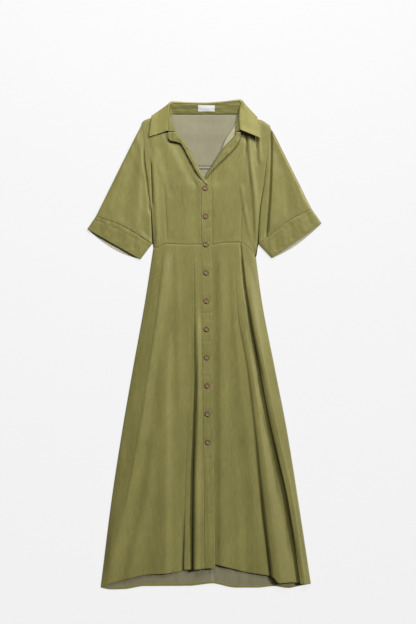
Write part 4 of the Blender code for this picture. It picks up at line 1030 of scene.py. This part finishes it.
def ring(top, bottom):
    """A flattened tube: a top and a bottom grid of equal rows, joined at each side by the half of
    an ellipse, as high as the gap and 0.8 times as deep as half the gap."""
    angle = np.linspace(math.pi / 2, -math.pi / 2, 9)[1:-1][None, :, None]
    turns = []
    for side, inward in ((-1, -3), (0, 2)):
        middle = (top[:, side] + bottom[:, side]) / 2
        out = top[:, side] - top[:, inward]
        out[:, 2] = 0
        out /= np.linalg.norm(out, axis=1)[:, None]
        reach = np.abs(top[:, side, 2] - bottom[:, side, 2])[:, None, None] / 2
        turns.append(middle[:, None] + out[:, None] * reach * 0.8 * np.cos(angle)
                     + np.array([0, 0, 1]) * reach * np.sin(angle))
    return np.concatenate([top, turns[0], bottom[:, ::-1], turns[1][:, ::-1]], axis=1)


def tube_height(share, full, width):
    """Height across a tube's front layer: a quarter circle at each side up to the full height."""
    inside = np.minimum(share, 1 - share) * width + 1.5
    return EDGE_Z + (full - EDGE_Z) * rounded(inside, TUBE_ROUND)


TUBE_SHARES = 0.012, 0.988  # where a layer starts and ends, the turn at each side being added
TUBE_WIDTH = 140


def between(start, end, share):
    """The x and the y a share of the way from one point to another."""
    return blend(start.x, end.x, share), blend(start.y, end.y, share)


def outwards(sleeve, layers):
    """The ring of two layers, with the columns ordered so that its faces point outwards."""
    top, bottom = (grid if sleeve.name == "right" else grid[:, ::-1] for grid in layers)
    return ring(top, bottom), top


def sleeve_ring(sleeve):
    """A sleeve: straight lines from the armhole to the cuff's seam, on both layers."""
    side, sign = (RIGHT_SIDE, -1) if sleeve.name == "right" else (LEFT_SIDE, 1)
    v = np.linspace(0, 1, SLEEVE_ROWS)[:, None]
    layers = []
    for share in (np.linspace(*TUBE_SHARES, 91), np.linspace(*TUBE_SHARES, 31)):
        armhole_y = blend(side[0].y - 2.5, UNDERARM_Y + 5, share)
        gap = blend(ARMHOLE_SEAM, TIGHT_SEAM, smooth((armhole_y - 440) / 60))
        armhole_x = side_x(side, armhole_y) + sign * gap
        cuff_x, cuff_y = between(sleeve.seam_outer, sleeve.seam_inner, share)
        cuff_y = cuff_y + sleeve.seam_rise * np.sin(math.pi * share)
        x = blend(armhole_x, cuff_x, v)
        x = x + sign * sleeve.inner_bulge * share**4 * np.sin(math.pi * v)
        y = blend(armhole_y, cuff_y, v)
        z = BACK_Z
        if not layers:
            full = SLEEVE_Z + creases(SLEEVE_FOLDS[sleeve.name], x, y)
            full = full + 0.35 * crumple(x - 0.5 * y * sign, y, 16, 60, 41)
            full = full + 0.2 * crumple(x, y, 7, 24, 42)
            low_arm = smooth((510 - armhole_y) / 40)
            start_z = edge_height(sign < 0, armhole_y) + 0.2 + (2.0 if sign > 0 else -2.6) * low_arm
            full = blend(start_z, full, smooth(v / BY_ARMHOLE))
            by_cuff = CUFF_DIP_Z + 0.9 + 0.25 * crumple(x, y, 7, 30, 43)
            full = blend(full, by_cuff, smooth((v - 1 + BY_CUFF) / BY_CUFF))
            z = tube_height(share, full, TUBE_WIDTH) - groove((v - 1) * SLEEVE_LENGTH, 0.4, 1.0)
            z = np.maximum(z + creases(SLEEVE_CREASES[sleeve.name], x, y), BACK_Z + 1.2)
        layers.append(grid_of(x, y, z))
    return outwards(sleeve, layers)


for sleeve in SLEEVES:
    whole, top = sleeve_ring(sleeve)
    piece = sew(f"sleeve_{sleeve.name}_cloth", whole, satin, wrong_side, tube=True)
    rows = thread(f"cuff_seam_stitches_{sleeve.name}",
                  sewn_across(top, (97.3, 99.2), 0.5, 89.5, 200), olive_thread)
    lay(piece, f"sleeve_{sleeve.name}", with_pieces=[rows])

# ---- Cuffs ---------------------------------------------------------------------------------------
# Deep turned-up cuffs of two layers of satin, sewn on under a double row of stitches. Their open
# edges gape a little, so that the wrong side of the back layer shows.
CUFF_Z = 6.2
CUFF_SEAM = -0.3
CUFF_DEPTH, STITCHED_DEPTH, FOLD_SHARE = 40, 11, 0.65
CUFF_FOLDS = {
    "right": [
        Fold(-1.6, 6, 6, [(-278.9, 339.1), (-281.6, 314.8), (-292.4, 293.2)]),
        Fold(1.2, 8, 8, [(-260, 331), (-265.4, 287.8)]),
        Fold(-1.6, 7, 7, [(-235.7, 320.2), (-233, 277)]),
        Fold(1.2, 7, 7, [(-211.4, 309.4), (-208.7, 263.5)]),
        Fold(-1.5, 5, 6, [(-184.4, 293.2), (-192.5, 255.4)]),
        Fold(1.0, 5, 5, [(-170.9, 282.4), (-173.6, 239.2)]),
    ],
    "left": [
        Fold(-1.5, 6, 6, [(274.6, 358), (288.1, 320.2)]),
        Fold(1.2, 8, 8, [(255.7, 347.2), (269.2, 298.6)]),
        Fold(-1.6, 7, 7, [(231.4, 331), (239.5, 279.7)]),
        Fold(1.2, 7, 7, [(212.5, 314.8), (217.9, 263.5)]),
        Fold(-1.5, 5, 5, [(190.9, 298.6), (193.6, 250)]),
        Fold(1.1, 5, 5, [(177.4, 282.4), (180.1, 239.2)]),
    ],
}


# The cuffs' inner face is a paler copy of the wrong side: painted light where the back layer shows.
lit_wrong_side = woven("satin_wrong_side_painted_light", (0.4, 0.38, 0.25), (0.5, 0.475, 0.33))


def cuff_ring(sleeve):
    """A cuff: straight lines from its seam to its open edge, on both layers. The back layer's edge
    hangs lower by a half sine."""
    v = np.linspace(0, 1, 25)[:, None]
    layers = []
    for share in (np.linspace(*TUBE_SHARES, 141), np.linspace(*TUBE_SHARES, 61)):
        seam_x, seam_y = between(sleeve.seam_outer, sleeve.seam_inner, share)
        seam_y = seam_y + sleeve.seam_rise * np.sin(math.pi * share) - CUFF_SEAM
        edge_x, edge_y = between(sleeve.edge_outer, sleeve.edge_inner, share)
        if layers:
            edge_y = edge_y - sleeve.back_drop * np.sin(math.pi * share)
        x, y = blend(seam_x, edge_x, v), blend(seam_y, edge_y, v)
        z = BACK_Z + 0.2
        if not layers:
            soft = FOLD_SHARE * creases(CUFF_FOLDS[sleeve.name], x, y)
            soft = soft + 0.35 * crumple(x, y, 9, 18, 51)
            full = blend(CUFF_DIP_Z, CUFF_Z, v) + soft
            z = tube_height(share, full, TUBE_WIDTH)
            z = z - groove(v * CUFF_DEPTH, 0.5, 2.5)
            z = z - groove(v * CUFF_DEPTH - STITCHED_DEPTH, 0.45, 1.6)
        layers.append(grid_of(x, y, z))
    return outwards(sleeve, layers)


for sleeve in SLEEVES:
    whole, top = cuff_ring(sleeve)
    piece = sew(f"cuff_{sleeve.name}_cloth", whole, satin, lit_wrong_side, tube=True, thickness=1.2)
    rows = thread(f"cuff_edge_stitches_{sleeve.name}",
                  sewn_across(top, (1.6, 6.4), 0.5, 139.5, 300, 0.4), olive_thread)
    lay(piece, f"cuff_{sleeve.name}", with_pieces=[rows])

# ---- Collar stand --------------------------------------------------------------------------------
# The band of cloth between the neck edge and the collar. Its inner face shows behind the neck,
# and beside the neck it shows as a narrow strip on each side.
Stand = namedtuple("Stand", "neck_x neck_y neck_z top_x top_y top_z")
STAND = [
    Stand(-75.2, 574.4, 7.6, -97, 574.2, 10.6), Stand(-81, 587, 7.4, -96.6, 588, 10.6),
    Stand(-85.4, 602, 7.0, -95.8, 604, 10.4), Stand(-88.4, 617, 5.6, -94.6, 626, 9.6),
    Stand(-86.5, 621.6, 3.8, -90.5, 645, 8.6), Stand(-72, 621.6, 3.4, -76, 649.2, 8.2),
    Stand(-40, 621.6, 3.2, -42, 648.6, 8.0), Stand(0, 621.6, 3.2, 0, 647.6, 8.0),
    Stand(42, 621.6, 3.2, 44, 650.4, 8.0), Stand(80, 621.6, 3.4, 86, 654.6, 8.2),
    Stand(91, 621.6, 4.2, 98, 650, 9.4), Stand(90.6, 616, 7.0, 94.2, 629, 10.4),
    Stand(88.2, 602, 9.2, 92.8, 604, 11.0), Stand(86.2, 588, 10.0, 93.8, 588, 11.8),
    Stand(84.2, 574.4, 10.2, 94.4, 574.2, 12.4),
]
STAND_ROWS, STAND_COLUMNS = 169, 17
collar_satin = woven(
    "collar_satin", (0.185, 0.168, 0.048), (0.275, 0.25, 0.078), 0.5, 0.35, 0.08, 0.3, SATIN_GLOSS)


def table_points(table, prefix):
    """The points of a table's prefix_x, prefix_y and prefix_z columns."""
    return np.array([column(table, f"{prefix}_{axis}") for axis in "xyz"], float).T


def refined(grid, rows, columns):
    """A grid joined by curve() down its rows and then across its columns."""
    for count in (rows, columns):
        grid = curve(np.arange(len(grid)), grid, np.linspace(0, len(grid) - 1, count))
        grid = grid.transpose(1, 0, 2)
    return grid


stand_edges = [table_points(STAND, "neck"), table_points(STAND, "top")]
stand_grid = refined(np.stack(stand_edges, axis=1), STAND_ROWS, STAND_COLUMNS)
x, y = stand_grid[..., 0], stand_grid[..., 1]
stand_grid[..., 2] += smooth((y - 618) / 6) * (
    0.7 * crumple(x + y, y, 17, 7, 61) + 0.5 * crumple(x, y, 40, 5, 62))
stand_grid[..., 2] -= groove(np.arange(STAND_COLUMNS) * 1.9, 0.5, 1.6)
# The stand is a darker copy of the satin: painted shade inside the neck.
stand_satin_painted_shade = woven(
    "stand_satin_painted_shade", (0.126, 0.113, 0.034), (0.19, 0.172, 0.055), 0.5, 0.4, 0.08, 0.2, SATIN_GLOSS)
stand = sew("collar_stand_cloth", stand_grid, stand_satin_painted_shade, stand_satin_painted_shade, thickness=1.0)
stand_rows = thread("collar_stand_stitches",
                    sewn_down(stand_grid, [1.6], 2, STAND_ROWS - 3, 500, 0.5), olive_thread)
lay(stand, "collar_stand", on=["back_yoke_cloth"], with_pieces=[stand_rows])

# ---- Collar fall ---------------------------------------------------------------------------------
# The collar itself, of two layers with a stiffening between them. It rolls over the stand to a
# point on each side, and behind the neck it is folded under. Stitches follow its edge.
COLLAR_THICKNESS = 1.5
FALL_ROWS, FALL_COLUMNS = 271, 49
EDGE_STITCH, CREST_STITCH, END_STITCH = 44.5, 12, 3.6  # columns and rows of its stitches
Fall = namedtuple("Fall", "seam_x seam_y seam_z crest_x crest_y crest_z outer_x outer_y outer_z")
FALL = [
    Fall(-97.5, 575.5, 10.8, -99.5, 575.5, 12.8, -149, 559.5, 11.4),
    Fall(-97.1, 590, 10.8, -99, 590, 12.8, -147.4, 577, 10.6),
    Fall(-96.3, 606, 10.6, -98, 606.5, 12.6, -145, 594, 9.8),
    Fall(-95.2, 627, 10.0, -97.2, 629, 12.0, -142.8, 608, 9.0),
    Fall(-92.3, 645.6, 9.0, -95, 647, 10.8, -142, 616.4, 6.4),
    Fall(-90.8, 646.6, 9.0, -93.4, 651.5, 7.8, -141, 617.2, 0.8),
    Fall(-84, 649.4, 8.8, -86, 655.0, 7.0, -124, 604, 0.6),
    Fall(-74, 650.2, 8.5, -74, 654.6, 6.8, -84, 606, 0.6),
    Fall(-42, 649.4, 8.3, -42, 652.6, 6.8, -42, 606, 0.6),
    Fall(0, 648.4, 8.3, 0, 651.8, 6.8, 0, 606, 0.6),
    Fall(44, 651.2, 8.3, 44, 654.6, 6.8, 44, 606, 0.6),
    Fall(84, 655.4, 8.5, 84, 659.2, 6.8, 88, 606, 0.6),
    Fall(93, 655.6, 8.8, 95.5, 660.4, 7.0, 126, 600, 0.6),
    Fall(98.6, 652.0, 9.8, 103.4, 655.8, 8.2, 141.6, 614.4, 0.8),
    Fall(98.8, 650, 10.0, 103.8, 651.4, 12.0, 142.4, 613.4, 6.6),
    Fall(94.5, 630, 10.8, 96.8, 631, 12.8, 144, 601, 10.6),
    Fall(93.1, 606, 11.4, 95.1, 606.5, 13.6, 146, 586.5, 14.4),
    Fall(94.1, 590, 12.2, 96.0, 590, 15.0, 148.8, 570, 17.0),
    Fall(94.6, 576, 13.6, 96.6, 577.5, 17.4, 151.5, 554.8, 21.0),
]
LEAF_FOLDS = [
    Fold(-1.2, 10, 10, [(-127.7, 649.6), (-125, 606.4), (-127.7, 560.5)]),
    Fold(0.8, 6, 6, [(-103.4, 660.4), (-106.1, 568.6)]),
    Fold(0.6, 10, 12, [(112.6, 660.4), (120.7, 606.4), (128.8, 552.4)]),
]
seam, crest, outer = (table_points(FALL, name) for name in ("seam", "crest", "outer"))
near, middle = blend(crest, outer, 0.18), blend(crest, outer, 0.55)
near[:, 2] = blend(crest[:, 2], outer[:, 2], 0.75)
middle[:, 2] = blend(crest[:, 2], outer[:, 2], 0.92)
fall_grid = refined(np.stack([seam, crest, near, middle, outer], axis=1), FALL_ROWS, FALL_COLUMNS)
x, y = fall_grid[..., 0], fall_grid[..., 1]
leaf = smooth((fall_grid[..., 2] - 5) / 3)
fall_grid[..., 2] += leaf * (creases(LEAF_FOLDS, x, y) + 0.2 * crumple(x, y, 14, 18, 62))
fall_grid[..., 2] -= leaf * 0.6 * (1 - rounded(np.arange(FALL_COLUMNS)[::-1] * 1.2, 2.4))
fall = sew("collar_fall_cloth", fall_grid, collar_satin, collar_satin, thickness=COLLAR_THICKNESS)


def leaf_rows(stops, end):
    """Stitches round a leaf: along its outer edge between two rows, then across near its end."""
    out = COLLAR_THICKNESS / 2
    return (sewn_down(fall_grid, [EDGE_STITCH], *stops, 120, out)
            + sewn_across(fall_grid, [end], EDGE_STITCH, CREST_STITCH, 60, out))


last = FALL_ROWS - 1 - END_STITCH
fall_rows = leaf_rows((END_STITCH, 58), END_STITCH) + leaf_rows((last, 210), last)
fall_rows = thread("collar_fall_stitches", fall_rows, olive_thread)
lay(fall, "collar_fall", on=["collar_stand_cloth", "front_bodice_right_cloth"],
    with_pieces=[fall_rows])

# The upper lapel's CAD nodes are hidden here, with the collar that it lies under.
lay(over, "button_band_over", on=["front_bodice_right_cloth", "button_band_under_cloth"],
    with_pieces=[over_rows])

# ---- Neck label ----------------------------------------------------------------------------------
# A small woven label of white ribbon, bare, with its ends sewn to the stand behind the neck.
LABEL_WIDTH, LABEL_HEIGHT = 45.0, 16.5
LABEL_CENTRE = Point(5.5, 636.8)
STAND_FOOT_Y = 621.6
ribbon = woven("white_ribbon", (0.52, 0.52, 0.51), (0.63, 0.63, 0.62), 0.55, 0.2, 0.1, 0.12)
white_thread = spun("white_thread", (0.45, 0.45, 0.44))
across, down = np.linspace(-0.5, 0.5, 46), np.linspace(0.5, -0.5, 18)[:, None]
x, y = np.broadcast_arrays(
    LABEL_CENTRE.x + across * LABEL_WIDTH, LABEL_CENTRE.y + down * LABEL_HEIGHT)
behind = np.arange(60, 110)  # rows of the stand behind the neck
stand_middle, stand_top = stand_grid[behind, STAND_COLUMNS // 2], stand_grid[behind, -1]
row_at = np.interp(x, stand_middle[:, 0], behind)
stand_top_y = np.interp(x, stand_top[:, 0], stand_top[:, 1])
column_at = (STAND_COLUMNS - 1) * (y - STAND_FOOT_Y) / (stand_top_y - STAND_FOOT_Y)
label_grid = along_grid(stand_grid, row_at.reshape(-1), column_at.reshape(-1), 0.9)[0]
label_grid = label_grid.reshape(*x.shape, 3)
label_grid[..., 2] += 0.2 * crumple(x, y, 9, 9, 71) - 0.4 * (
    1 - rounded(LABEL_WIDTH / 2 - np.abs(x - LABEL_CENTRE.x), 2.0))
label = sew("neck_label_ribbon", label_grid, ribbon, ribbon, slot="label", thickness=0.4)
label_rows = thread(
    "neck_label_stitches", sewn_down(label_grid, (1.8, 43.2), 1, 16, 40, 0.2, pitch=2.0, length=1.4,
                                     radius=0.16), white_thread)
lay(label, "neck_label", on=["collar_stand_cloth"], with_pieces=[label_rows])

# ---- Buttons -------------------------------------------------------------------------------------
# Ten turned four-hole buttons that look like horn, with a raised rim. Each is sewn on by two bars
# of brown thread, and covers the buttonhole that it has come through.
BUTTON_RADIUS, BUTTON_THICKNESS = 7.25, 2.6
BUTTON_SIDES = 64
HOLE_OFFSET, HOLE_RADIUS, HOLE_DEPTH = 1.25, 0.75, 0.75  # the depth is a share of the height
BUTTON_TURN, BUTTON_CLEARANCE, BUTTON_ASIDE = 0.35, 0.9, 1.2
THREAD_SPACING, THREAD_RADIUS = 0.3, 0.2
PROFILE = [  # radius and height as shares of the button's, from the middle of the top down
    (0.03, 0.66), (0.3, 0.64), (0.56, 0.62), (0.66, 0.74), (0.76, 0.96), (0.84, 1.0), (0.93, 0.93),
    (1.0, 0.68), (1.0, 0.42), (0.93, 0.12), (0.82, 0.0), (0.4, 0.02), (0.03, 0.02),
]
horn = Finish("button_horn", Specular_IOR_Level=0.6)
place = horn.node("ShaderNodeUVMap", {"uv_map": "face"})
from_middle = horn.node("ShaderNodeVectorMath", {"operation": "LENGTH"}, {0: place}, "Value")
grain = horn.noise(place, (700.0, 220.0, 1.0), 3.0, 0.6)
# The horn's colour goes by the distance from the middle, with grain: dark at the foot of the rim
# and at the outer edge, which is painted shade.
horn_tone_and_rim_shade = horn.node("ShaderNodeValToRGB", {"stops": [
    (0.0, (0.21, 0.12, 0.07)), (0.46, (0.2, 0.11, 0.06)), (0.6, (0.035, 0.015, 0.007)),
    (0.8, (0.11, 0.052, 0.026)), (1.0, (0.012, 0.005, 0.003))]},
    {0: from_middle * (1 / (BUTTON_RADIUS * MM)) + (grain - 0.5) * 0.18})
pale_grain = grain.maths("MAXIMUM", grain - 0.42, 0.0) * 2.4
horn.feed(horn.shader, {
    "Base Color": horn.mix(horn_tone_and_rim_shade, (0.5, 0.33, 0.17), pale_grain),
    "Roughness": 0.24 + grain * 0.12,
    "Normal": horn.node("ShaderNodeBump", None, {
        "Strength": 0.3, "Distance": 0.1 * MM, "Height": grain}),
})
brown_thread = spun("brown_thread", (0.1, 0.06, 0.035))


# The turned disc: rings of the profile's radius. Where a hole is, the face drops by three quarters
# of its height, eased over the hole's edge.
at = np.linspace(0, len(PROFILE) - 1, 46)
radius, height = curve(np.arange(len(PROFILE)), np.array(PROFILE), at).T
angle = np.arange(BUTTON_SIDES) * math.tau / BUTTON_SIDES
x, y = (np.outer(radius * BUTTON_RADIUS, ways) for ways in (np.cos(angle), np.sin(angle)))
off = np.hypot(np.abs(x) - HOLE_OFFSET, np.abs(y) - HOLE_OFFSET)
hole = smooth((HOLE_RADIUS + 0.25 - off) / 0.35) * (at < 6)[:, None]
disc = grid_of(x, y, height[:, None] * BUTTON_THICKNESS * (1 - HOLE_DEPTH * hole))


def button(number):
    """One button on the band: the disc turned and moved to its place, with its two poles closed.
    It gives the strands of its thread, three beside each other in each of two bars."""
    y = FIRST_BUTTON_Y - number * BUTTON_PITCH
    x = (float(band("left", y)) + float(band("right", y))) / 2 - BUTTON_ASIDE
    z = float(band("z_over", y)) + BUTTON_CLEARANCE
    turn = BUTTON_TURN * math.sin(number * 2.4)
    cos, sin = math.cos(turn), math.sin(turn)
    turned = np.array([[cos, sin, 0], [-sin, cos, 0], [0, 0, 1]])
    index = np.arange(disc[..., 0].size).reshape(disc.shape[:2])
    after = np.roll(index, -1, axis=1)
    walls = np.stack([index[:-1], index[1:], after[1:], after[:-1]], axis=-1).reshape(-1, 4)
    faces = walls.tolist() + [index[0].tolist(), index[-1][::-1].tolist()]
    name = f"button_{number + 1:02d}"
    points = disc.reshape(-1, 3) @ turned + [x, y, z]
    piece = shape(f"{name}_horn", points, faces, horn.material, slot="button")
    corner = np.empty(len(piece.data.loops), dtype=np.int32)
    piece.data.loops.foreach_get("vertex_index", corner)
    face = piece.data.uv_layers.new(name="face")
    face.data.foreach_set("uv", (disc.reshape(-1, 3)[corner][:, :2] * MM).reshape(-1))
    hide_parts(name)
    bars = []
    steps = np.linspace(-1.5, 1.5, 8) * HOLE_OFFSET
    for side in (-1, 1):
        for strand in (-1, 0, 1):
            bar = grid_of(steps, side * HOLE_OFFSET + strand * THREAD_SPACING, 0) @ turned
            bar += [x, y, z + 0.64 * BUTTON_THICKNESS - 0.05]
            bars.append(stitches(bar, np.tile([0.0, 0.0, 1.0], (8, 1)), 3.6, 3.5, THREAD_RADIUS))
    return bars


button_bars = [bar for number in range(BUTTON_COUNT) for bar in button(number)]
thread("button_stitches", button_bars, brown_thread)

# ---- Stage ---------------------------------------------------------------------------------------
# A plain pale floor, a broad soft light from the upper right, and a camera that looks straight
# down at the middle of the picture.
paper = Finish("floor_paper", Roughness=0.9, Specular_IOR_Level=0.2, Emission_Color=(1, 1, 1, 1),
               Emission_Strength=0.75)
paper_grain = paper.noise(paper.node("ShaderNodeTexCoord", output="Object"), (3.0, 3.0, 3.0))
paper.feed(paper.shader, {
    "Base Color": paper.mix((0.130, 0.129, 0.130), (0.140, 0.139, 0.140), paper_grain)})
FLOOR_REACH = 4000
corners = [(-FLOOR_REACH, -FLOOR_REACH, 0), (FLOOR_REACH, -FLOOR_REACH, 0),
           (FLOOR_REACH, FLOOR_REACH, 0), (-FLOOR_REACH, FLOOR_REACH, 0)]
shape("floor", corners, [(0, 1, 2, 3)], paper.material)


def lamp(name, kind, direction, place=(0, 0, 0), **settings):
    """A light of a kind at a place, whose light comes from a direction."""
    data = bpy.data.lights.new(name, kind)
    for key, value in settings.items():
        setattr(data, key, value)
    light = bpy.data.objects.new(name, data)
    light.location = place
    light.rotation_euler = (-Vector(direction)).to_track_quat("-Z", "Y").to_euler()
    bpy.context.scene.collection.objects.link(light)


lamp("key", "SUN", (0.85, 0.52, 0.9), angle=math.radians(8), energy=2.9)
lamp("fill", "SUN", (-0.5, 0.6, 0.9), angle=math.radians(60), energy=0.08)
lamp("softbox", "AREA", (0.1, 1.6, 1.5), (0.1, 1.8, 1.5), size=1.0, energy=38)
world = bpy.data.worlds.new("studio")
world.use_nodes = True
world.node_tree.nodes["Background"].inputs["Color"].default_value = (0.96, 0.98, 1.0, 1)
world.node_tree.nodes["Background"].inputs["Strength"].default_value = 0.07
bpy.context.scene.world = world
bpy.context.scene.view_settings.view_transform = "Standard"

CAMERA_HEIGHT, SENSOR, VIEW_HEIGHT = 3.5, 36.0, 1.6848  # metres, millimetres and metres
camera = bpy.data.cameras.new("camera")
camera.sensor_fit, camera.sensor_height, camera.sensor_width = "AUTO", SENSOR, SENSOR
camera.lens = SENSOR * CAMERA_HEIGHT / VIEW_HEIGHT
view = bpy.data.objects.new("camera", camera)
view.location = (0.010, 0.088, CAMERA_HEIGHT)
bpy.context.scene.collection.objects.link(view)
bpy.context.scene.camera = view
